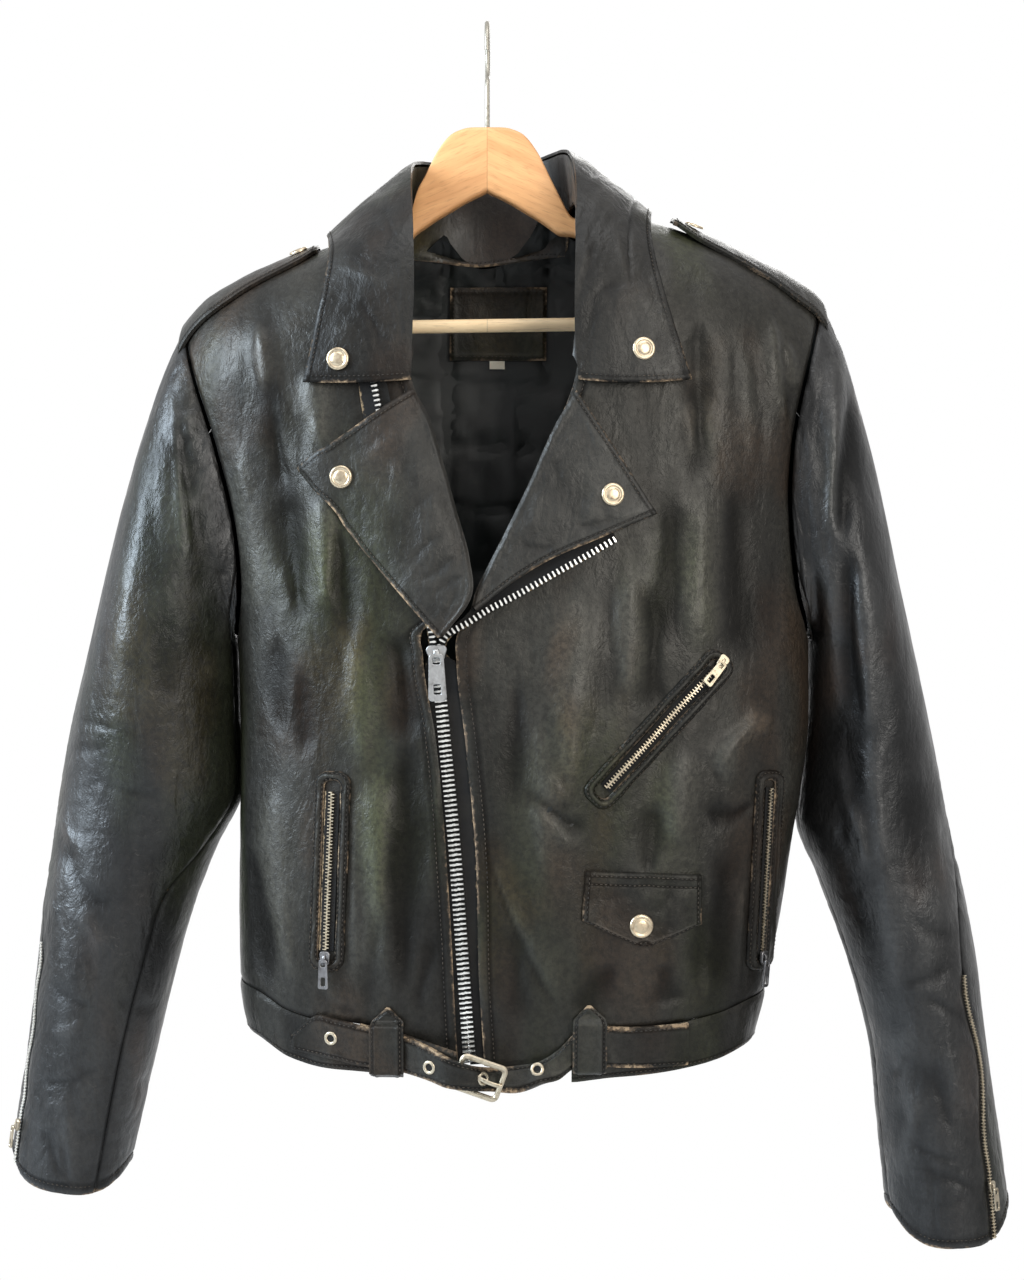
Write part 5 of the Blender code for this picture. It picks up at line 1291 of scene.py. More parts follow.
def cap_points(side, t, share):
    start = armhole_loop(side, share)
    start[..., 0] += side * CAP_OFFSET
    end = sleeve_ring(side, SLEEVE_TOP, share)
    below = sleeve_ring(side, SLEEVE_TOP - 20, share)
    span = np.linalg.norm(end - start, axis=-1, keepdims=True)
    turn = 2 * math.pi * share
    aside = side * (0.50 + 0.2 * np.abs(np.sin(turn)))
    leave = np.stack([aside, -0.35 * np.sin(turn), -0.86 + 0 * turn], axis=-1)
    leave = unit(leave) * span * 0.6
    arrive = unit(below - end) * span
    t = t[..., None]
    return (
        start * (1 + 2 * t) * (1 - t) ** 2 + end * t * t * (3 - 2 * t)
        + leave * t * (1 - t) ** 2 + arrive * t * t * (t - 1)
    )


# Heights of the elbow, and of where the wrinkles of the cuff begin
ELBOW = {RIGHT: -560, LEFT: -600}
WRINKLED_BELOW = {RIGHT: -700, LEFT: -730}


def sleeve_relief(side, grid):
    """Height of a sleeve's creases and wrinkles; its hidden half mirrors the half that shows."""
    x, y, z = grid[..., 0], grid[..., 1], grid[..., 2]
    inner, outer, middle, _ = SLEEVES[side](np.minimum(z, SLEEVE_TOP))
    front = np.clip((middle - y) / 24 + 0.5, 0, 1)
    mirrored = inner + outer - x
    lift = creases(x, z, SLEEVE_CREASES[side]) * front
    low = np.clip((-430 - z) / 60, 0, 1)
    hidden = creases(mirrored, z - 22, SLEEVE_CREASES[side]) * low
    hidden = hidden + creases(x, z - 22, SLEEVE_CREASES[side]) * (1 - low)
    lift = lift + 0.7 * hidden * (1 - front)
    down = from_border(grid, "first")
    around = from_border(grid, "left")
    coarse = 0.5 * noise(around / 30 + side, z / 110, side + 20)
    lift = lift + coarse + 0.3 * noise(around / 15, z / 40, side + 21)
    cap = np.exp(-down / 55)
    lift = lift + 1.0 * cap * (ridged(around / 13, down / 15, side + 22) + 0.35)
    elbow = np.exp(-(((z - ELBOW[side]) / 95) ** 2))
    lift = lift + 0.5 * elbow * (ridged(around / 34, z / 8.5, side + 24) + 0.3)
    cuff = np.clip((WRINKLED_BELOW[side] - z) / 90, 0, 1)
    lift = lift + 0.75 * cuff * (ridged(around / 17, z / 14, side + 26) + 0.35)
    return lift


def make_sleeves():
    for side in (RIGHT, LEFT):
        name = "sleeve_" + SIDE_NAMES[side]
        for part, first, last, columns in (("_top", 0, 1, 84), ("_under", 1, 0, 104)):
            grid = sleeve_sheet(side, first, last, columns)
            normals = grid_normals(grid)
            dent = sleeve_relief(side, grid)
            edge = np.minimum(from_border(grid, "left"), from_border(grid, "right"))
            dent = dent * np.clip(edge / 6, 0.25, 1)
            borders = {"left": ("seam", 0.6), "right": ("seam", 0.6), "first": ("seam", 0.5),
                       "last": ("edge", 0.3, 0.95)}
            done, wear = worked(grid + normals * dent[..., None], borders, side * 5.0 + first, normals, 0.2)
            done = with_lines(done, normals, [("last", 6.0)])
            dent = painted_seam_shade(dent, grid, [("last", 6.0), ("left", 0), ("right", 0), ("first", 0)], 1.3, 3.5)
            sew(done, "last", 6.0, 3, 3)
            shell("shell_" + name + part, done, LEATHER, ("sleeve", "lining"), "leather",
                  wear, dent, normals=normals, replaces=[name + part])


# ---------------------------------------------------------------- collar and lapels
def make_collar():
    fall = collar_grid(56, 330)[:, ::-1]
    normals = grid_normals(fall)
    s = np.linspace(1, 0, 56)[None, :]
    t = np.linspace(0, 1, 330)[:, None]
    along_it = from_border(fall, "first")
    dent = 0.8 * noise(along_it / 28, s * 3.0, 31) + 0.45 * noise(along_it / 12, s * 6, 32)
    dent = dent + 0.9 * creases(along_it / 1.0, s * 70 + 0 * along_it, COLLAR_CREASES)
    ends = np.clip(np.minimum(t, 1 - t) * 12, 0, 1)
    dent = dent * (0.3 + 0.7 * np.clip(s * 5, 0, 1))
    borders = {"left": ("edge", 0.3, 0.5), "first": ("edge", 0.2, 0.95), "last": ("edge", 0.2, 0.9)}
    done, wear = worked(fall + normals * dent[..., None], borders, 33.0, normals, 0.22)
    wear = np.clip(wear + 0.45 * np.exp(-(((1 - s) * 0 + s) / 0.05) ** 2) * 0.6 * (1 - ends * 0.5), 0, 1)
    lines = [("left", 4.0), ("first", 4.5), ("last", 4.5)]
    done = with_lines(done, normals, lines)
    dent = painted_seam_shade(dent, fall, [*lines, ("left", 0), ("first", 0), ("last", 0)])
    for border, inset in lines:
        sew(done, border, inset, 4, 4)
    shell("shell_collar_fall", done, DOUBLED, ("collar", "collar"), "leather", wear, dent,
          normals=normals, replaces=["collar_fall"])
    fold = collar_grid(5, 200, 0.013, 0.987)[:, ::-1]
    fold_normals = grid_normals(fold)
    top = fold[:, -1] - fold_normals[:, -1] * (DOUBLED + LAY_GAP + 0.3) + (fold[:, -2] - fold[:, -1]) * 0.12
    foot = along(neck_edge(), 200)
    share = np.linspace(0, 1, 22)[None, :, None]
    stand = top[:, None] * (1 - share) + foot[:, None] * share
    # behind the neck it goes on down to its seam with the lining
    behind = np.clip(foot[:, 1] / 14, 0, 1)
    seam = np.minimum(np.interp(foot[:, 0], [-60, -6, 66], [-163, -167, -158.5]), foot[:, 2] - 1.5)
    low_x = foot[:, 0] * 0.97
    low = np.stack([low_x, body_y(low_x, seam, BACK) - 10.5, seam], axis=-1)
    low = foot + (low - foot) * behind[:, None] + np.array([0, 0, -0.6])
    down = np.linspace(0, 1, 10)[None, 1:, None]
    stand = np.concatenate([stand, foot[:, None] * (1 - down) + low[:, None] * down], axis=1)
    share = np.linspace(0, 1, stand.shape[1])[None, :, None]
    # its inner side is the one seen, so the sheet faces inward
    outward = grid_normals(stand[:, ::-1])[:, ::-1]
    seen = stand - outward * LEATHER
    wave = 0.4 * noise(from_border(seen, "first") / 26, share[..., 0] * 2, 35)
    seen = seen - outward * wave[..., None]
    inward = grid_normals(seen)
    done, wear = worked(seen, {"right": ("edge", 0.2, 0.85)}, 36.0, inward, 0.12)
    sew(done, "right", 3.0, 6, 6)
    shell("shell_collar_stand", done, LEATHER, ("facing", "flesh"), "leather", wear, 0.0,
          normals=inward, replaces=["collar_stand"])


# Along the collar from its right point, across it from the edge as 70: ends, bow, half width, height
COLLAR_CREASES = [
    (20, 20, 60, 46, 4, 3, -0.8), (64, 10, 90, 60, -4, 5, 0.9), (96, 20, 140, 30, 3, 4, -0.7),
    (150, 10, 156, 60, 0, 5, 0.7),
    (200, 10, 206, 60, 2, 4, -0.7), (260, 15, 268, 60, 0, 5, -0.7), (330, 10, 322, 60, 0, 5, 0.8),
    (400, 14, 410, 60, 2, 5, -0.7),
    (470, 20, 500, 52, 3, 4, 0.8), (520, 14, 560, 24, 2, 3, -0.7), (540, 30, 590, 44, -4, 4, 0.8),
    (575, 12, 604, 60, 3, 3, -0.8),
    (450, 60, 616, 47, 0, 1.3, -1.4),
]
LAPEL_CREASES = {
    RIGHT: [
        (-48, -300, -100, -352, 6, 7, 0.8), (-30, -330, -70, -380, -4, 6, -0.8),
        (-24, -372, -52, -398, 3, 3, -0.8),
        (-20, -388, -46, -408, -2, 3, -0.8), (-14, -404, -38, -420, 2, 2.5, -0.7),
        (-86, -330, -98, -350, 0, 4, -0.6),
        (-60, -320, -56, -360, 3, 5, 0.8), (-18, -412, -30, -436, 0, 3, -0.7),
    ],
    LEFT: [
        (66, -292, 86, -322, 0, 3.5, 1.0), (46, -318, 58, -360, 2, 6, -0.7), (78, -338, 74, -372, 2, 5, 0.8),
        (60, -370, 96, -360, 3, 3, -0.8), (20, -380, 50, -386, 2, 3, -0.6), (96, -340, 110, -352, 0, 3, -0.7),
        (38, -345, 30, -375, 0, 5, 0.7), (84, -364, 108, -356, 2, 2.5, 0.6),
    ],
}


def make_lapels():
    for side in (RIGHT, LEFT):
        grid = lapel_grid(side, 130, 96 if side == RIGHT else 80)
        normals = grid_normals(grid)
        x, z = grid[..., 0], grid[..., 2]
        dent = creases(x, z, LAPEL_CREASES[side]) + 0.5 * noise(x / 19, z / 24, 41)
        dent = dent + 0.25 * noise(x / 8, z / 10, 42)
        outer, roll = ("right", "left") if side == RIGHT else ("left", "right")
        edge = np.minimum(from_border(grid, outer), from_border(grid, "first"))
        calm = np.ones(x.shape)
        for at_x, at_z in ((-99, -336), (87, -348)):
            calm -= np.exp(-(((x - at_x) ** 2 + (z - at_z) ** 2) / 120))
        dent = dent * np.clip(edge / 8, 0.2, 1) * np.clip(calm, 0, 1)
        borders = {outer: ("edge", 0.3, 0.9), "first": ("edge", 0.2, 0.7), roll: ("edge", 0.0, 0.25)}
        done, wear = worked(grid + normals * dent[..., None], borders, 43.0 + side, normals, 0.22)
        low = 0.35 * np.clip((-395 - z) / 40, 0, 1) * np.exp(-from_border(grid, outer) / 4)
        wear = np.clip(wear + low * (side == RIGHT), 0, 1)
        lines = [(outer, 3.6), ("first", 3.6)]
        done = with_lines(done, normals, lines)
        dent = painted_seam_shade(dent, grid, [*lines, (outer, 0), ("first", 0)])
        for border, inset in lines:
            sew(done, border, inset, 3, 3)
        name = "lapel_" + SIDE_NAMES[side]
        shell("shell_" + name, done, DOUBLED, ("lapel", "leather"), "leather", wear, dent,
              normals=normals, replaces=[name])


# ---------------------------------------------------------------- straps, waistband, belt
def band(name, grid, thick, borders, seed, lines=(), dent_size=0.4):
    """A narrow strip of leather with turned edges and lines of stitches."""
    normals = grid_normals(grid)
    along_it = from_border(grid, "left") if grid.shape[1] > grid.shape[0] else from_border(grid, "first")
    long_waves = noise(along_it / 16, 0 * along_it + seed, seed)
    dent = dent_size * (long_waves + 0.6 * noise(along_it / 6, grid[..., 2] / 14, seed + 1))
    edge = np.min([from_border(grid, b) for b in borders], axis=0)
    dent = dent * np.clip(edge / 4, 0.3, 1)
    done, wear = worked(grid + normals * dent[..., None], borders, seed, normals, 0.12)
    done = with_lines(done, normals, [line[:2] for line in lines])
    dent = painted_seam_shade(dent, grid, [line[:2] for line in lines])
    for border, inset, *ends in lines:
        sew(done, border, inset, *(ends or (2, 2)))
    shell("shell_" + name, done, thick, ("leather", "flesh"), "leather", wear, dent,
          normals=normals, replaces=[name])
    return done


def make_straps():
    for side in (RIGHT, LEFT):
        x, front, back, lift = STRAPS[side](np.linspace(0, 1, 90)[:, None])
        tip = np.clip((np.linspace(0, 1, 90)[:, None] - 0.84) / 0.16, 0, 1)
        y = front + (back - front) * (0.5 + (np.linspace(0, 1, 38)[None, :] - 0.5) * (1 - 0.30 * tip**2))
        grid = on_shoulder(x + 0 * y, y, lift + 0 * y)
        grid = grid if side == LEFT else grid[:, ::-1]
        borders = {"left": ("edge", 0.2, 0.45), "right": ("edge", 0.2, 0.3), "last": ("edge", 0.2, 0.5),
                   "first": ("seam", 0.2)}
        name = "epaulette_" + SIDE_NAMES[side]
        band(name, grid, STRAP_LEATHER, borders, 51.0 + side,
             [("left", 3.2), ("right", 3.2), ("last", 3.2)], dent_size=0.3)


def band_sheet(side, columns, rows):
    f = np.linspace(0, 1, columns)[None, :]
    down = np.linspace(0, 1, rows)[:, None]
    z = np.full((rows, columns), -720.0)
    for _ in range(20):
        outer = armhole_x(z, side)
        x = BAND_START[side] + (outer - BAND_START[side]) * (np.sin(f * math.pi / 2) * 0.8 + f * 0.2)
        top = HEM(x) - SEAM_GAP - BAND_CLEAR * np.clip(1 - np.abs(x - BAND_START[side]) / 60, 0, 1)
        z = top + (BAND_FOOT(x) - top) * down
    grid = on_body(x, z, BAND_LIFT)[::-1]
    grid[:, -1, 1] = -SIDE_GAP
    return grid if side == LEFT else grid[:, ::-1]


def make_waistband():
    borders = {"first": ("edge", 0.25, 0.55), "last": ("seam", 0.3), "left": ("seam", 0.2),
               "right": ("seam", 0.2)}
    for side in (RIGHT, LEFT):
        band("waistband_" + SIDE_NAMES[side], band_sheet(side, 100, 22), DOUBLED, borders, 61.0 + side,
             [("first", 3.0)])
    f = np.linspace(-1, 1, 230)[None, :]
    down = np.linspace(1, 0, 18)[:, None]
    z = np.full((18, 230), -710.0)
    for _ in range(20):
        share = np.sign(f) * (np.sin(np.abs(f) * math.pi / 2) * 0.8 + np.abs(f) * 0.2)
        x = np.where(share < 0, 12 + (12 - armhole_x(z, RIGHT)) * share,
                     12 + (armhole_x(z, LEFT) - 12) * share)
        z = BACK_HEM(x) - SEAM_GAP - WAISTBAND * down
    grid = on_body(x, z, BAND_LIFT, BACK)
    grid[:, 0, 1] = SIDE_GAP
    grid[:, -1, 1] = SIDE_GAP
    band("waistband_back", grid[:, ::-1], DOUBLED, borders, 63.0, [("first", 3.0), ("last", 3.0)])


def make_belt():
    worn = {"first": ("edge", 0.15, 1.2), "last": ("edge", 0.15, 1.4), "left": ("edge", 0.1, 2.0),
            "right": ("seam", 0.1)}
    stops = np.linspace(-134, 139, 240)
    belt = band("belt_strap", ribbon_grid(BELT, stops, 22), BELT_LEATHER, worn, 71.0,
                [("first", 2.4), ("last", 2.4)], dent_size=0.3)
    strap = ribbon_grid(HOLDER, np.linspace(*BUCKLE_STRAP, 60), 20)
    band("belt_buckle_strap", strap, DOUBLED, worn, 72.0, dent_size=0.1)
    for x, z in ((-107, -722), (-38, -738), (-2, -746), (35, -741)):
        eyelet(belt, x, z)
    for side in (RIGHT, LEFT):
        centre, top, raised = LOOPS[side]
        table = np.array(LOOP)
        down = np.linspace(table[-1, 0], 0, 60)[:, None]
        half = np.interp(down, table[:, 0], table[:, 1])
        lift = np.interp(down, table[:, 0], table[:, 2])
        x = centre + half * np.linspace(-1, 1, 26)[None, :]
        lift = lift + np.clip((lift - 3.6) / 4, 0, 1) * raised + 0 * x
        grid = on_body(x, top - down + 0 * x, lift)
        rub = {"left": ("edge", 0.1, 0.8), "right": ("edge", 0.1, 0.7), "last": ("edge", 0.1, 1.5),
               "first": ("edge", 0.1, 0.3)}
        band("belt_loop_" + SIDE_NAMES[side], grid, DOUBLED, rub, 74.0 + side,
             [("left", 2.4), ("right", 2.4)], dent_size=0.25)


def nearest(grid, x, z):
    """The grid's point nearest to a place seen from the front, and its normal."""
    normals = grid_normals(grid)
    away = (grid[..., 0] - x) ** 2 + (grid[..., 2] - z) ** 2
    i, j = np.unravel_index(np.argmin(away), away.shape)
    return grid[i, j], normals[i, j]


def turned(name, centre, normal, profile, material, slot, sides=36, replaces=()):
    """A round piece from a profile of (distance, height); a first distance of 0 closes its middle."""
    side, up, out = frame_at(normal)
    points = []
    for away, rise in profile:
        for j in range(sides):
            a = 2 * math.pi * j / sides
            points.append(centre + (side * math.cos(a) + up * math.sin(a)) * away + out * rise)
    faces = []
    rings = len(profile)
    for i in range(rings - 1):
        for j in range(sides):
            k = (j + 1) % sides
            faces.append((i * sides + j, (i + 1) * sides + j, (i + 1) * sides + k, i * sides + k))
    return piece(name, points, faces, [material], slot, ROOT, replaces, sharp=60)


# An eyelet's ring, and the dark disc that fills its hole as painted shade: distance from the middle, height
RING = [(4.9, -0.2), (4.8, 0.35), (4.2, 0.85), (3.4, 0.95), (2.7, 0.6), (2.35, -0.1), (2.3, -0.8)]
HOLE_SHADE = [(2.35, 0.12), (1.2, 0.1), (0.01, 0.1)]
EYELETS = []


def eyelet(grid, x, z):
    """An eyelet at the grid's point nearest to a place seen from the front."""
    centre, normal = nearest(grid, x, z)
    number = len(EYELETS)
    EYELETS.append(turned(f"eyelet_{number}", centre, normal, RING, M["nickel"], "nickel"))
    # the dark disc in the hole is painted shade
    turned(f"eyelet_hole_shade_{number}", centre, normal, HOLE_SHADE, M["tape"], "tape")


# ---------------------------------------------------------------- zips
def swept(line, start, end):
    """Grid along a zip's path: offsets across it from start to end, at a lift over the tape's base."""
    x, z, ahead, base = line
    across = np.stack([ahead[:, 1], -ahead[:, 0]], axis=-1)
    s = np.linspace(0, 1, 7)[None, :]
    offset = start[:, None] + (end - start)[:, None] * s
    x, z = x[:, None] + across[:, :1] * offset, z[:, None] + across[:, 1:] * offset
    return on_body(x, z, base[:, None] + TAPE + 0 * offset)


# Outline of a tooth over its tape, from its root to its head: distance across, half height
TOOTH = [(-1.7, 0.62), (0.4, 0.72), (1.2, 0.92), (2.4, 0.86), (3.0, 0.42)]


def teeth(name, places, across, out, material, size=1.0):
    """A row of metal teeth: their places, the way each points, and the way out of the cloth."""
    outline = [(a, -h) for a, h in TOOTH] + [(a, h) for a, h in reversed(TOOTH)]
    count = len(outline)
    points, faces = [], []
    for place, point, away in zip(places, across, out):
        ahead = np.cross(away, point)
        first = len(points)
        for rise, shrink in ((-1.1, 1.0), (0.95, 1.0), (1.35, 0.78)):
            for a, b in outline:
                corner = point * a * (0.5 + shrink / 2) + ahead * b * shrink + away * rise
                points.append(place + corner * size)
        for ring in (0, 1):
            for j in range(count):
                k = (j + 1) % count
                low = first + ring * count
                faces.append((low + j, low + k, low + count + k, low + count + j))
        faces.append(tuple(first + 2 * count + j for j in range(count)))
        faces.append(tuple(first + count - 1 - j for j in range(count)))
    return piece(name, points, faces, [material], "nickel", sharp=40)


# From tooth to tooth along the front zip, and along the others
TOOTH_PITCH = 3.4
SMALL_PITCH = 2.3
# Heights on the left half of the front zip, where it bends: below it, where its teeth change sides, above it
BEND = (-462, -441, -428)


def make_front_zip():
    for side in (RIGHT, LEFT):
        path = along(ZIP_PATH[side], 260)
        x, z, right, left, base = path.T
        ahead = unit(np.stack([np.gradient(x), np.gradient(z)], axis=-1))
        across = np.stack([ahead[:, 1], -ahead[:, 0]], axis=-1)
        grid = swept((x, z, ahead, base), -BEAD_HALF - right, BEAD_HALF + left)
        away = from_border(grid, "right" if side == LEFT else "left")
        fray = 0.9 * np.exp(-away / 1.2) * (0.6 + 0.4 * noise(z / 9, z / 4, 5.0)[:, None])
        name = "zip_" + SIDE_NAMES[side]
        shell("tape_" + name, grid, TAPE, ("tape", "tape"), "tape", np.clip(fray, 0, 1), 0.0,
              replaces=[name])
        reach = np.r_[0, np.cumsum(np.hypot(np.diff(x), np.diff(z)))]
        at = np.arange(2.0 + (TOOTH_PITCH / 2 if side == LEFT else 0), reach[-1] - 2, TOOTH_PITCH)
        px, pz, pb, pr, pl = (np.interp(at, reach, v) for v in (x, z, base, right, left))
        ax, az = (np.interp(at, reach, across[:, n]) for n in (0, 1))
        centre = on_body(px, pz, pb + TAPE + 1.7)
        sideways = unit(on_body(px + ax, pz + az, pb + TAPE + 1.7) - centre)
        sign = np.where(side == RIGHT, 1.0, np.where(pl > pr, -1.0, 1.0))
        turning = (pz > BEND[0]) & (pz < BEND[2])
        sign = np.where((side == LEFT) & turning, np.where(pz < BEND[1], -1.0, 1.0), sign)
        out = unit(on_body(px, pz, pb + TAPE + 2.7) - centre)
        teeth("teeth_" + name, centre, sideways * sign[:, None], out, M["teeth"])
    place = np.array(MAIN_SLIDER, float)
    hangs = frame_at(body_normal(*place[:2]), (-0.04, 0, 1))
    slider_and_pull("zip", "main", on_body(*place), hangs, "front_zip_pull", "zinc")


def paired_teeth(name, middle, sideways, out, size, material):
    """Two interlocked rows of teeth along a line of points."""
    reach = np.r_[0, np.cumsum(np.linalg.norm(np.diff(middle, axis=0), axis=1))]
    places, points, outs = [], [], []
    for sign, shift in ((1.0, 0.0), (-1.0, SMALL_PITCH / 2)):
        at = np.arange(1.0 + shift, reach[-1] - 0.5, SMALL_PITCH)
        for values, found in ((middle, places), (sideways * sign, points), (out, outs)):
            found.append(np.stack([np.interp(at, reach, values[:, axis]) for axis in range(3)], axis=-1))
    places[0] = places[0] - unit(points[0]) * 1.9 * size
    places[1] = places[1] - unit(points[1]) * 1.9 * size
    teeth(name, np.concatenate(places), unit(np.concatenate(points)), unit(np.concatenate(outs)),
          M[material], size)


# ---------------------------------------------------------------- sliders and pulls
def cut_plate(name, outlines, thick, bevel, centre, frame, material, body, replaces=()):
    """A plate with bevelled edges: its outline, then the outlines of its holes."""
    side, up, out = frame
    flat = []
    for outline in outlines:
        flat.append([Vector((x, y, 0)) for x, y in outline])
    triangles = tessellate_polygon(flat)
    rings = []
    level = thick / 2
    for rise, inward in ((-level, bevel), (-level + bevel, 0), (level - bevel, 0), (level, bevel)):
        for n, outline in enumerate(outlines):
            sizes = np.array(outline)
            middle = (sizes.min(0) + sizes.max(0)) / 2
            half = (sizes.max(0) - sizes.min(0)) / 2
            grow = 1 - inward / half if n == 0 else 1 + inward / half
            for x, y in middle + (sizes - middle) * grow:
                rings.append(centre + side * x + up * y + out * rise)
    count = sum(len(outline) for outline in outlines)
    faces = [tuple(reversed(t)) for t in triangles] + [tuple(3 * count + k for k in t) for t in triangles]
    start = 0
    for outline in outlines:
        size = len(outline)
        for layer in range(3):
            for j in range(size):
                low = layer * count + start
                k = (j + 1) % size
                faces.append((low + j, low + k, low + count + k, low + count + j))
        start += size
    made = piece(name, rings, faces, [material], "nickel", body, replaces, sharp=35)
    fix_facing(made)
    return made


def fix_facing(obj):
    mesh = bmesh.new()
    mesh.from_mesh(obj.data)
    bmesh.ops.recalc_face_normals(mesh, faces=mesh.faces)
    mesh.to_mesh(obj.data)
    mesh.free()


def slider_and_pull(name, size, centre, frame, body, metal_name):
    """A slider's plate with the bridge that holds its pull, and the pull with its windows."""
    width, height, thick, pull_width, pull_length, pull_thick, *window_size = SLIDER_SIZES[size]
    side, up, out = frame
    outline = rounded(width, height, min(width, height) * 0.3, 5)
    tapered = [(x * (1.0 if y > 0 else 0.80), y) for x, y in outline]
    metal = M[metal_name]
    cut_plate("slider_" + name, [tapered], thick * 0.72, 0.35, centre + out * thick * 0.36, frame,
              metal, ROOT, [name + "_slider"])
    bridge = []
    for t in np.linspace(0, math.pi, 11):
        rise = up * (height * 0.30 * math.cos(t) - height * 0.06)
        bridge.append(centre + rise + out * (thick * 0.70 + thick * 0.42 * math.sin(t)))
    rod("bridge_" + name, np.array(bridge), side, width * 0.13, thick * 0.10, metal)
    hinge = centre + out * (thick + pull_thick / 2 + PULL_CLEAR) - up * height * 0.2
    middle = hinge - up * (pull_length / 2 - PULL_EYE)
    outline = rounded(pull_width, pull_length, pull_width * 0.22, 5)
    outer = [(x * (1.0 if y < pull_length * 0.2 else 0.82), y) for x, y in outline]
    window = [(x, y - pull_length * 0.25) for x, y in rounded(*window_size, 0.9, 4)]
    eye = [(x, y + pull_length / 2 - PULL_EYE - pull_length * 0.105) for x, y in
           rounded(pull_width * 0.42, pull_length * 0.15, pull_width * 0.1, 4)]
    cut_plate("pull_" + name, [outer, window[::-1], eye[::-1]], pull_thick, 0.25, middle, frame,
              metal, body, [name + "_pull"])


def rod(name, line, side, half_width, half_thick, material, slot="nickel", replaces=(), square=0.6):
    """A flat bar with rounded corners swept along a line, its width along one direction."""
    ahead = unit(np.gradient(line, axis=0))
    points, size = [], 12
    for place, forward in zip(line, ahead):
        across = unit(side - forward * np.dot(side, forward))
        away = np.cross(forward, across)
        for j in range(size):
            a = 2 * math.pi * j / size
            wide = np.sign(math.cos(a)) * abs(math.cos(a)) ** square
            tall = np.sign(math.sin(a)) * abs(math.sin(a)) ** square
            points.append(place + across * wide * half_width + away * tall * half_thick)
    faces = tube(len(line), size)
    made = piece(name, points, faces, [material], slot, ROOT, replaces, sharp=60)
    fix_facing(made)
    return made


def tube(rings, size):
    """Faces of a closed tube: its two ends, then the walls between its rings."""
    faces = [tuple(range(size))[::-1], tuple((rings - 1) * size + j for j in range(size))]
    for i in range(rings - 1):
        for j in range(size):
            k = (j + 1) % size
            faces.append((i * size + j, i * size + k, (i + 1) * size + k, (i + 1) * size + j))
    return faces


# ---------------------------------------------------------------- pockets
def racetrack(start, end, half, steps):
    """Points round a segment at an even distance, its ends with rounded corners."""
    down = (end - start) / np.linalg.norm(end - start)
    across = np.array([-down[1], down[0]])
    corner = half * 0.75
    points = []
    for near, far, sign in ((start, end, 1), (end, start, -1)):
        direction, sideways = down * sign, across * sign
        for t in np.linspace(0.02, 0.98, steps):
            points.append(near + (far - near) * t + sideways * half)
        for turn in np.radians(np.linspace(8, 90, 9)):
            points.append(far + direction * (half - corner + corner * math.sin(turn))
                          + sideways * (half - corner + corner * math.cos(turn)))
        for turn in np.radians(np.linspace(0, 82, 9)):
            points.append(far + direction * (half - corner + corner * math.cos(turn))
                          - sideways * (half - corner + corner * math.sin(turn)))
    points = np.array(points)
    return np.concatenate([points, points[:1]])


# Size and metal of the teeth, metal of the slider, body of the pull, how frayed the tape is
POCKET_LOOKS = {
    "hand_right": (0.62, "brassy", "dull", "right_hand_pocket_pull", 0.8),
    "hand_left": (0.52, "brassy", "dull", "left_hand_pocket_pull", 0.25),
    "chest": (0.62, "nickel", "brassy", "chest_pocket_pull", 0.25),
}


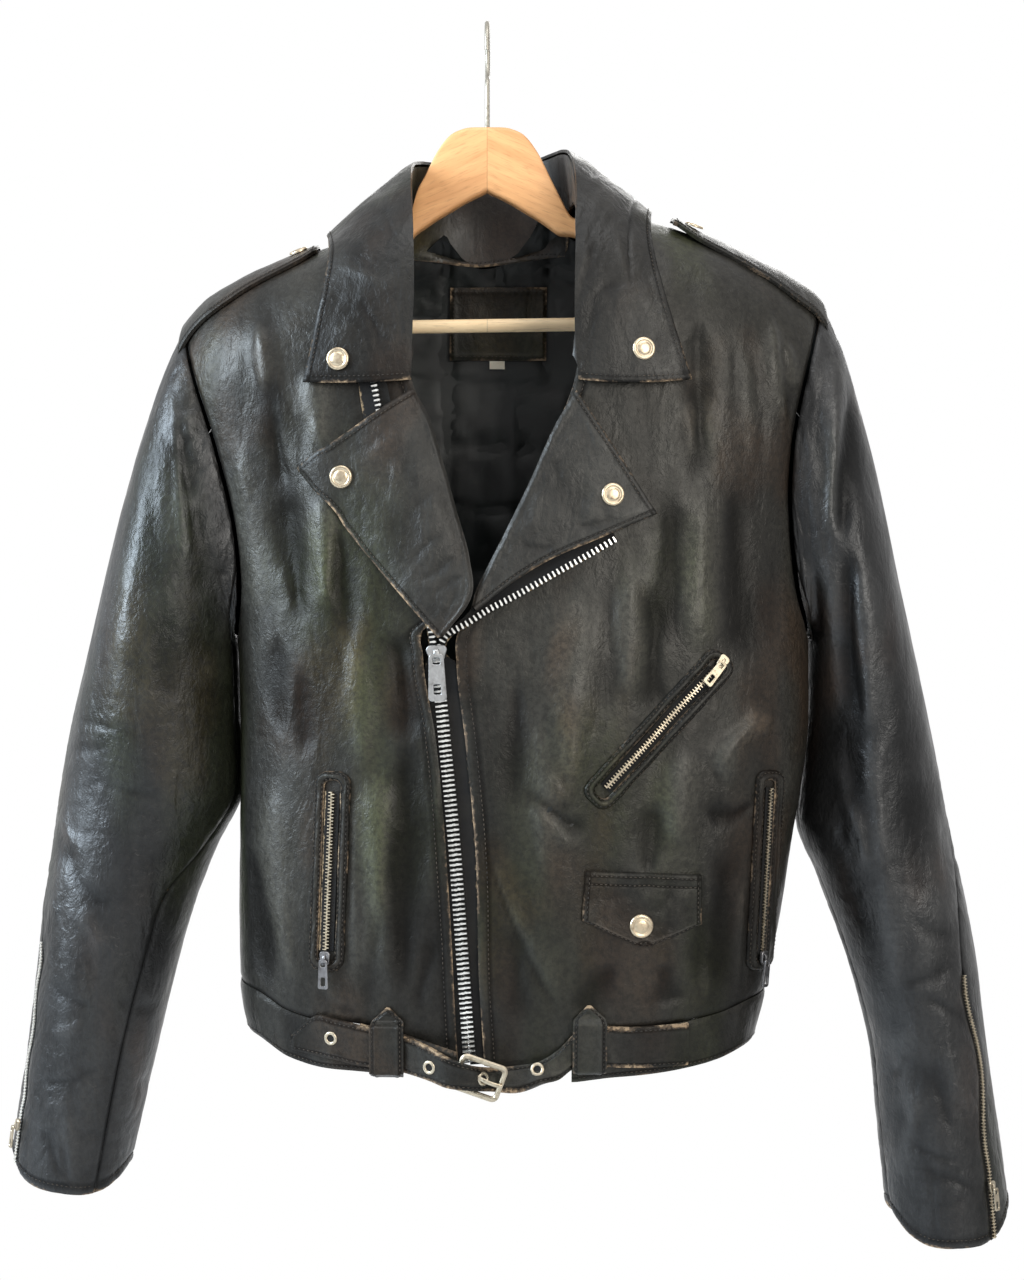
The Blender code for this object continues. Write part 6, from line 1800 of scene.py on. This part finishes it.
def make_pockets():
    for name, (x1, z1, x2, z2, half) in POCKETS.items():
        start, end = np.array((x1, z1), float), np.array((x2, z2), float)
        down = (end - start) / np.linalg.norm(end - start)
        across = np.array([-down[1], down[0]])
        loops = []
        shares = np.linspace(0, 1, 16)
        for share in shares:
            line = racetrack(start + down * half, end - down * half, half - WELT_RIM * share, 70)
            lift = LAY_GAP + 0.45 + WELT * (1 - 0.5 * (2 * share - 1) ** 4) * np.minimum(0.35 + share * 6, 1)
            loops.append(on_body(line[:, 0], line[:, 1], np.full(len(line), lift)))
        grid = np.stack(loops, axis=1)
        if grid_normals(grid)[..., 1].mean() > 0:
            grid = grid[:, ::-1]
        inner, outer = ("left", "right") if np.allclose(grid[:, 0], loops[-1]) else ("right", "left")
        normals = grid_normals(grid)
        around = from_border(grid, "first")
        dent = 0.35 * noise(around / 15, 0 * around, 81)
        dent = dent + 0.25 * noise(around / 6, from_border(grid, "left") / 5, 82)
        borders = {outer: ("edge", 0.1, 0.6), inner: ("edge", 0.15, 0.8)}
        done, wear = worked(grid + normals * dent[..., None], borders, 83.0 + x1, normals, 0.1)
        done = with_lines(done, normals, [(outer, 2.6), (inner, 1.8)], 0.3)
        dent = painted_seam_shade(dent, grid, [(outer, 0), (outer, 2.6), (inner, 1.8)])
        sew(done, outer, 2.6)
        sew(done, inner, 1.8)
        shell("shell_" + name + "_welt", done, WELT - 0.2, ("leather", "flesh"), "leather", wear, dent,
              normals=normals, replaces=[name + "_welt"])
        inset = half * 0.7
        first, last = start + down * (half + inset * 0.3 - 1), end - down * (half + inset * 0.3 - 1)
        width = half - WELT_RIM - 0.4
        t, s = np.linspace(0, 1, 80)[:, None], np.linspace(-1, 1, 9)[None, :]
        x = last[0] + (first[0] - last[0]) * t + across[0] * s * width
        z = last[1] + (first[1] - last[1]) * t + across[1] * s * width
        tape = on_body(x, z, 0 * x + LAY_GAP + 1.0)
        if grid_normals(tape)[..., 1].mean() > 0:
            tape = tape[:, ::-1]
        tooth_size, metal_name, slider_metal, body, frayed = POCKET_LOOKS[name]
        fray = frayed * np.exp(-from_border(tape, "left"))
        shell("tape_" + name, tape, 0.7, ("tape", "tape"), "tape", fray, 0.0, replaces=[name + "_zip"])
        t = np.linspace(0, 1, 60)
        mx, mz = last[0] + (first[0] - last[0]) * t, last[1] + (first[1] - last[1]) * t
        middle = on_body(mx, mz, 0 * mx + LAY_GAP + 2.0)
        sideways = unit(on_body(mx + across[0], mz + across[1], 0 * mx + LAY_GAP + 2.0) - middle)
        out = unit(on_body(mx, mz, 0 * mx + LAY_GAP + 3.0) - middle)
        paired_teeth("teeth_" + name, middle, sideways, out, tooth_size, metal_name)
        at = start + (end - start) * SLIDER_AT[name]
        up = (0, 0, 1) if name != "chest" else (-down[0], 0, -down[1])
        place = frame_at(body_normal(*at), up)
        slider_and_pull(name, "pocket", on_body(at[0], at[1], LAY_GAP + WELT + 0.25 + SEAM_GAP), place,
                        body, slider_metal)


def make_flap():
    rows = np.array(FLAP, float)
    down = np.linspace(FLAP[-1][0], 0, 70)[:, None]
    s = np.linspace(0, 1, 80)[None, :]
    low, high = np.interp(down, rows[:, 0], rows[:, 1]), np.interp(down, rows[:, 0], rows[:, 2])
    x = low + (high - low) * s
    z = FLAP_TOP - down + FLAP_SLOPE * (x - FLAP[0][1])
    calm = 1 - np.exp(-(((x - FLAP_SNAP[0]) ** 2 + (z - FLAP_SNAP[1]) ** 2) / 160))
    dent = calm * (0.5 * noise(x / 14, z / 12, 91) + 0.3 * noise(x / 6, z / 7, 92))
    grid = on_body(x, z, FLAP_LIFT + dent)
    normals = grid_normals(grid)
    borders = {"first": ("edge", 0.1, 0.6), "left": ("edge", 0.1, 0.6), "right": ("edge", 0.1, 0.6),
               "last": ("edge", 0.1, 0.3)}
    done, wear = worked(grid, borders, 93.0, normals, 0.12)
    lines = [("left", 3.0), ("right", 3.0), ("last", 3.2), ("last", 9.0), ("first", 2.6)]
    done = with_lines(done, normals, lines, 0.3)
    dent = painted_seam_shade(dent, grid, [*lines, ("left", 0), ("right", 0), ("last", 0), ("first", 0)], 0.7)
    for border, inset in lines:
        sew(done, border, inset, 3, 3)
    shell("shell_coin_flap", done, DOUBLED, ("leather", "flesh"), "leather", wear, dent,
          normals=normals, replaces=["coin_flap"])


FLAP_SNAP = (106, -643)


# ---------------------------------------------------------------- cuff zips
def cuff_slider_place(side):
    """Where the cuff's slider stands, most of the way down its zip, and the way out of the cloth there."""
    heights = np.linspace(-ZIP_TOP[side] + 6, -CUFF[side][0], 6)
    _, seam = SEAMS[side](-heights)
    inner, outer, _, depth = SLEEVES[side](-heights)
    around = math.pi * ((outer - inner) * side / 2 + depth)
    half = (CHAIN_HALF - 0.9) / around
    share = seam[:, None] + half[:, None] * np.linspace(-1, 1, 3)[None, :]
    grid = sleeve_ring(side, -heights[:, None], share)
    grid = grid if side == RIGHT else grid[:, ::-1]
    outward = grid_normals(grid)[-2, 1]
    return grid[-2, 1] + outward * SEAM_GAP, outward


def make_cuff_zips():
    for side in (RIGHT, LEFT):
        name = "cuff_" + SIDE_NAMES[side]
        height = np.linspace(-ZIP_TOP[side] + 2, -CUFF[side][0], 110)
        inner, outer, _, depth = SLEEVES[side](-height)
        around = math.pi * ((outer - inner) * side / 2 + depth)
        _, seam = SEAMS[side](-height)
        seam = seam + zip_wave(side, -height) / around
        s = np.linspace(-1, 1, 9)[None, :]
        grid = sleeve_ring(side, -height[:, None], seam[:, None] + s * ((CHAIN_HALF - 0.6) / around)[:, None])
        grid = grid if side == RIGHT else grid[:, ::-1]
        normals = grid_normals(grid)
        grid = grid - normals * 0.9
        shell("tape_" + name, grid, 0.8, ("tape", "tape"), "tape", 0.2, 0.0, replaces=[name + "_zip"])
        middle, out = grid[:, 4] + normals[:, 4] * 0.8, normals[:, 4]
        sideways = unit(grid[:, 5] - grid[:, 3])
        paired_teeth("teeth_" + name, middle, sideways, out, 0.56, "brassy" if side == LEFT else "teeth")
        place, outward = cuff_slider_place(side)
        slider_and_pull(name, "cuff", place, frame_at(outward), SIDE_NAMES[side] + "_cuff_pull", "nickel")


# ---------------------------------------------------------------- snaps
# Cap: distance from the middle and height, as shares of the radius
CAP = [(1.0, -0.03), (1.01, 0.06), (0.98, 0.15), (0.90, 0.22), (0.80, 0.235), (0.71, 0.20),
       (0.66, 0.165), (0.60, 0.175), (0.53, 0.235), (0.42, 0.27), (0.22, 0.285), (0.002, 0.29)]
COLLAR_CAP, STRAP_CAP, FLAP_CAP = 7.9, 6.8, 8.2
# Places of the snaps; on the shoulder straps x and lift, at one y
COLLAR_SNAPS = {RIGHT: (-101, -92, -255), LEFT: (108, -92, -248)}
LAPEL_SNAPS = {RIGHT: (-99, -96, -336), LEFT: (87, -96, -348)}
STRAP_SNAPS = {RIGHT: (-134, 4.3), LEFT: (147, 6.4)}
STRAP_SNAP_Y = -19.0


def snap(name, centre, normal, radius):
    turned("cap_" + name, centre, normal, [(a * radius, h * radius) for a, h in CAP], M["cap"], "nickel",
           48, replaces=[name])


def nearest_normal(grid, target):
    """The point of a grid nearest to a place, level with it, and the normal there."""
    normals = grid_normals(grid)
    away = np.linalg.norm(grid - target, axis=-1)
    i, j = np.unravel_index(np.argmin(away), away.shape)
    normal = normals[i, j]
    return target + normal * np.dot(grid[i, j] - target, normal), normal


def make_snaps():
    fall = collar_grid(25, 80)[:, ::-1]
    for side, place in COLLAR_SNAPS.items():
        point, normal = nearest_normal(fall, np.array(place, float))
        snap("snap_collar_" + SIDE_NAMES[side], point + normal * SEAM_GAP, normal, COLLAR_CAP)
    for side, place in LAPEL_SNAPS.items():
        point, normal = nearest_normal(lapel_grid(side, 60, 40), np.array(place, float))
        snap("snap_lapel_" + SIDE_NAMES[side], point + normal * SEAM_GAP, normal, COLLAR_CAP)
    for side, (x, lift) in STRAP_SNAPS.items():
        point = on_shoulder(x, STRAP_SNAP_Y, lift + SEAM_GAP)
        normal = unit(on_shoulder(x, STRAP_SNAP_Y, 2.0) - on_shoulder(x, STRAP_SNAP_Y, 0.0))
        snap("snap_epaulette_" + SIDE_NAMES[side], point, normal, STRAP_CAP)
    snap("snap_coin_flap", on_body(*FLAP_SNAP, FLAP_LIFT + SEAM_GAP), body_normal(*FLAP_SNAP), FLAP_CAP)


def make_buckle():
    x, z, lift, width, height, bar, thick, turn = BUCKLE
    side, up, out = frame_at(body_normal(x, z))
    angle = math.radians(turn)
    cos, sin = math.cos(angle), math.sin(angle)
    tilted = (side * cos + up * sin, up * cos - side * sin, out)
    centre = on_body(x, z, lift)
    outer = rounded(width, height, 5, 7)
    inner = rounded(width - 2 * bar, height - 2 * bar, 3, 7)
    cut_plate("frame_buckle", [outer, inner[::-1]], thick + 0.4, 0.9, centre, tilted, M["nickel"], ROOT,
              ["buckle_frame"])
    length, breadth, depth, shift = PRONG
    start = thick / 2 + SEAM_GAP + depth / 2
    line = []
    for t in np.linspace(-0.25, 1, 14):
        rise = 0.9 * math.sin(t * math.pi) - 5.0 * max(0.0, 0.3 - t) ** 1.2
        line.append(centre + tilted[0] * (shift + length * (t - 0.5)) + out * (start + rise))
    line = np.array(line)
    rod("prong_buckle", line, tilted[1], breadth / 2, depth / 2, M["nickel"], replaces=["buckle_prong"])


# ---------------------------------------------------------------- label
def make_label():
    behind = LEATHER + LINING_GAP + LINING + LAY_GAP + 2.6
    for name, place, thick, material, size, wavy in (
        ("label_patch", LABEL, LEATHER, "leather", (70, 56), 0.7),
        ("size_tab", TAG, TAPE, "tag", (16, 10), 0.3),
    ):
        left_x, right_x, top, bottom = place
        x = np.linspace(right_x, left_x, size[0])[None, :]
        z = np.linspace(top, bottom, size[1])[:, None]
        lift = wavy * noise(x / 17, z / 14, 95) - behind - thick
        grid = on_body(x + 0 * z, z + 0 * x, lift, BACK)
        normals = grid_normals(grid)
        wear = np.zeros(grid.shape[:2])
        if name == "label_patch":
            borders = {b: ("edge", 0.1, 0.95) for b in ("left", "right", "first", "last")}
            grid, wear = worked(grid, borders, 97.0, normals, 0.1)
            for border in borders:
                sew(grid, border, 3.0, 3, 3)
        shell("shell_" + name, grid, thick, (material, material), "tag" if name == "size_tab" else "leather",
              wear, 0.0, normals=normals, replaces=[name])


# ---------------------------------------------------------------- hanger
# Rounding of the wood's edges, and the steps of its arc
WOOD_SOFT = 3.2
WOOD_ARC = 4


def wood_ring(x, top, bottom, half):
    points = []
    for sy, sz, first in ((-1, -1, 180), (1, -1, 270), (1, 1, 0), (-1, 1, 90)):
        for step in range(WOOD_ARC + 1):
            a = math.radians(first + 90 * step / WOOD_ARC)
            y = sy * (half - WOOD_SOFT) + WOOD_SOFT * math.cos(a)
            z = (bottom + WOOD_SOFT if sz < 0 else top - WOOD_SOFT) + WOOD_SOFT * math.sin(a)
            points.append((x, y, z))
    return points


def make_hanger():
    rings = []
    ends = []
    for side in (RIGHT, LEFT):
        rows = [(away, top, bottom, thick) for away, top, bottom, thick in CREST]
        rows.append((DIP[side][0], DIP[side][1], DIP[side][2], CREST[0][3]))
        for away, tall, thick in ARM[side]:
            top = float(SHOULDER(side * away)) - ARM_DROP
            rows.append((away, top, top - tall, thick))
        shape = smooth(rows)
        half = []
        for away in np.linspace(0.0 if side == RIGHT else 0.8, rows[-1][0], 110):
            top, bottom, thick = shape(away)
            half.append(wood_ring(side * away, float(top), float(bottom), float(thick)))
        away, _, foot, thick = rows[-1]
        ends.append(np.array([side * (away - STEP), 0, foot - BAR_BELOW]))
        last, tall, tip_thick = TIP[side]
        for step in np.linspace(away + STEP, last, 8):
            round_off = 3.0 * max(0, (step - last + 4) / 4) ** 2
            top = float(SHOULDER(side * step)) - ARM_DROP - round_off
            half.append(wood_ring(side * step, top, foot - 17 + round_off, tip_thick - round_off * 0.6))
        rings = half[::-1] + rings if side == RIGHT else rings + half
    points = [point for ring in rings for point in ring]
    made = piece("wood_hanger", points, tube(len(rings), len(rings[0])), [M["wood"]], "wood",
                 replaces=["hanger_wood"], sharp=50)
    fix_facing(made)
    direction = unit(ends[1] - ends[0])
    line = ends[0] + (ends[1] - ends[0]) * np.linspace(0, 1, 12)[:, None]
    side, up, _ = frame_at(direction, (0, 1, 0))
    points = []
    for place in line:
        for j in range(32):
            a = 2 * math.pi * j / 32
            points.append(place + (side * math.cos(a) + up * math.sin(a)) * BAR_RADIUS)
    made = piece("wood_bar", points, tube(len(line), 32), [M["bar"]], "wood", replaces=["hanger_bar"],
                 sharp=50)
    fix_facing(made)
    make_hook()


def make_hook():
    middle = -HOOK_BEND
    centre_line = HOOK_BEND + HOOK_WIRE
    path = [(0, 0.0, HOOK_FOOT), (0, 0.0, -66.0), (0, 0.0, -58.0), (0, 0.0, middle - centre_line - 8.0),
            (0, 0.4, middle - centre_line - 4.0), (0, 1.8, middle - centre_line - 1.2)]
    for degrees in range(-78, 196, 6):
        angle = math.radians(degrees)
        path.append((0, centre_line * math.cos(angle), middle + centre_line * math.sin(angle)))
    rod("wire_hook", np.array(path, float), np.array([1.0, 0, 0]), HOOK_WIRE, HOOK_WIRE, M["steel"], "steel",
               replaces=["hanger_hook"], square=1.0)


# ---------------------------------------------------------------- stitches
def make_stitches():
    """All the stitches as one mesh of thin spindles."""
    points, faces = [], []
    for starts, ends, outs, thick, lift in THREADS:
        for a, b, out in zip(starts, ends, outs):
            ahead = unit(b - a)
            side = np.cross(out, ahead)
            first = len(points)
            length = np.linalg.norm(b - a)
            middle = (a + b) / 2
            points.append(a + out * (lift - 0.45))
            for t in (-0.32, 0.0, 0.32):
                swell_by = 0.8 if t else 1.0
                for j in range(5):
                    turn = 2 * math.pi * j / 5
                    round_by = side * math.cos(turn) + out * math.sin(turn)
                    place = middle + ahead * t * length + out * (lift + (0.06 if t == 0 else -0.05))
                    points.append(place + round_by * thick * swell_by)
            points.append(b + out * (lift - 0.45))
            for j in range(5):
                k = (j + 1) % 5
                faces.append((first, first + 1 + k, first + 1 + j))
                for ring in (0, 1):
                    low = first + 1 + 5 * ring
                    faces.append((low + j, low + k, low + 5 + k, low + 5 + j))
                faces.append((first + 11 + j, first + 11 + k, first + 16))
    made = piece("stitching", points, faces, [M["thread"]], "leather", sharp=80)
    fix_facing(made)


# ---------------------------------------------------------------- stage
CAMERA = (0.018, -1.5, -0.4475)
LENS = 57.8
FLOOR = -1.25
FLOOR_GREY = 0.86
# Strength of the white that the camera and shiny surfaces see, and of the fill on all else
SEEN_WHITE = 1.0
FILL_WHITE = 0.30
# Soft lights: place and target in metres, width and height, power in watts, colour
LIGHTS = {
    "window": ((-2.00, -0.75, 0.35), (-0.1, 0.0, -0.45), (0.8, 1.3), 112, (0.76, 0.89, 1.0)),
    "fill": ((1.0, -1.8, 0.0), (0.05, 0.0, -0.45), (0.8, 1.2), 25, (1.0, 0.96, 0.88)),
    "top": ((0.1, -0.7, 1.2), (0.0, 0.0, -0.3), (1.3, 0.9), 16, (1.0, 1.0, 1.0)),
    "behind": ((0.3, 2.0, 0.6), (0.0, 0.0, -0.4), (1.4, 1.2), 28, (1.0, 0.99, 0.97)),
}


def soft_light(name, place, target, size, power, colour):
    data = bpy.data.lights.new(name, "AREA")
    data.shape = "RECTANGLE"
    data.size, data.size_y = size
    data.energy = power
    data.color = colour
    lamp = bpy.data.objects.new(name, data)
    bpy.context.scene.collection.objects.link(lamp)
    lamp.location = place
    lamp.rotation_euler = (Vector(target) - Vector(place)).to_track_quat("-Z", "Y").to_euler()


def make_world():
    """White to the camera and to glossy and transmitted rays, and a soft fill for the rest."""
    world = bpy.data.worlds.new("studio")
    bpy.context.scene.world = world
    world.use_nodes = True
    nodes, links = world.node_tree.nodes, world.node_tree.links
    nodes.clear()
    ray = nodes.new("ShaderNodeLightPath")
    first = nodes.new("ShaderNodeMath")
    first.operation = "ADD"
    second = nodes.new("ShaderNodeMath")
    second.operation = "ADD"
    second.use_clamp = True
    links.new(ray.outputs["Is Camera Ray"], first.inputs[0])
    links.new(ray.outputs["Is Glossy Ray"], first.inputs[1])
    links.new(first.outputs[0], second.inputs[0])
    links.new(ray.outputs["Is Transmission Ray"], second.inputs[1])
    choose = nodes.new("ShaderNodeMixShader")
    out = nodes.new("ShaderNodeOutputWorld")
    links.new(second.outputs[0], choose.inputs["Fac"])
    for slot, strength in ((1, FILL_WHITE), (2, SEEN_WHITE)):
        white = nodes.new("ShaderNodeBackground")
        white.inputs["Color"].default_value = (1, 1, 1, 1)
        white.inputs["Strength"].default_value = strength
        links.new(white.outputs[0], choose.inputs[slot])
    links.new(choose.outputs[0], out.inputs["Surface"])


def make_stage():
    mesh = bpy.data.meshes.new("floor")
    mesh.from_pydata([(-5, -5, FLOOR), (5, -5, FLOOR), (5, 1.0, FLOOR), (-5, 1.0, FLOOR)], [], [(0, 1, 2, 3)])
    floor = bpy.data.objects.new("floor", mesh)
    bpy.context.scene.collection.objects.link(floor)
    paint = bpy.data.materials.new("floor_paint")
    paint.use_nodes = True
    paint.node_tree.nodes["Principled BSDF"].inputs["Base Color"].default_value = (*[FLOOR_GREY] * 3, 1)
    paint.node_tree.nodes["Principled BSDF"].inputs["Roughness"].default_value = 0.9
    mesh.materials.append(paint)
    make_world()
    for name, values in LIGHTS.items():
        soft_light(name, *values)
    data = bpy.data.cameras.new("camera")
    data.lens = LENS
    camera = bpy.data.objects.new("camera", data)
    bpy.context.scene.collection.objects.link(camera)
    camera.location = CAMERA
    camera.rotation_euler = (math.pi / 2, 0, 0)
    bpy.context.scene.camera = camera
    bpy.context.scene.view_settings.view_transform = "Standard"


# ---------------------------------------------------------------- build
M = make_materials()
make_fronts()
make_back()
make_lining()
make_sleeves()
make_collar()
make_lapels()
make_straps()
make_waistband()
make_belt()
make_buckle()
make_front_zip()
make_pockets()
make_flap()
make_cuff_zips()
make_snaps()
make_label()
make_hanger()
make_stitches()
make_stage()
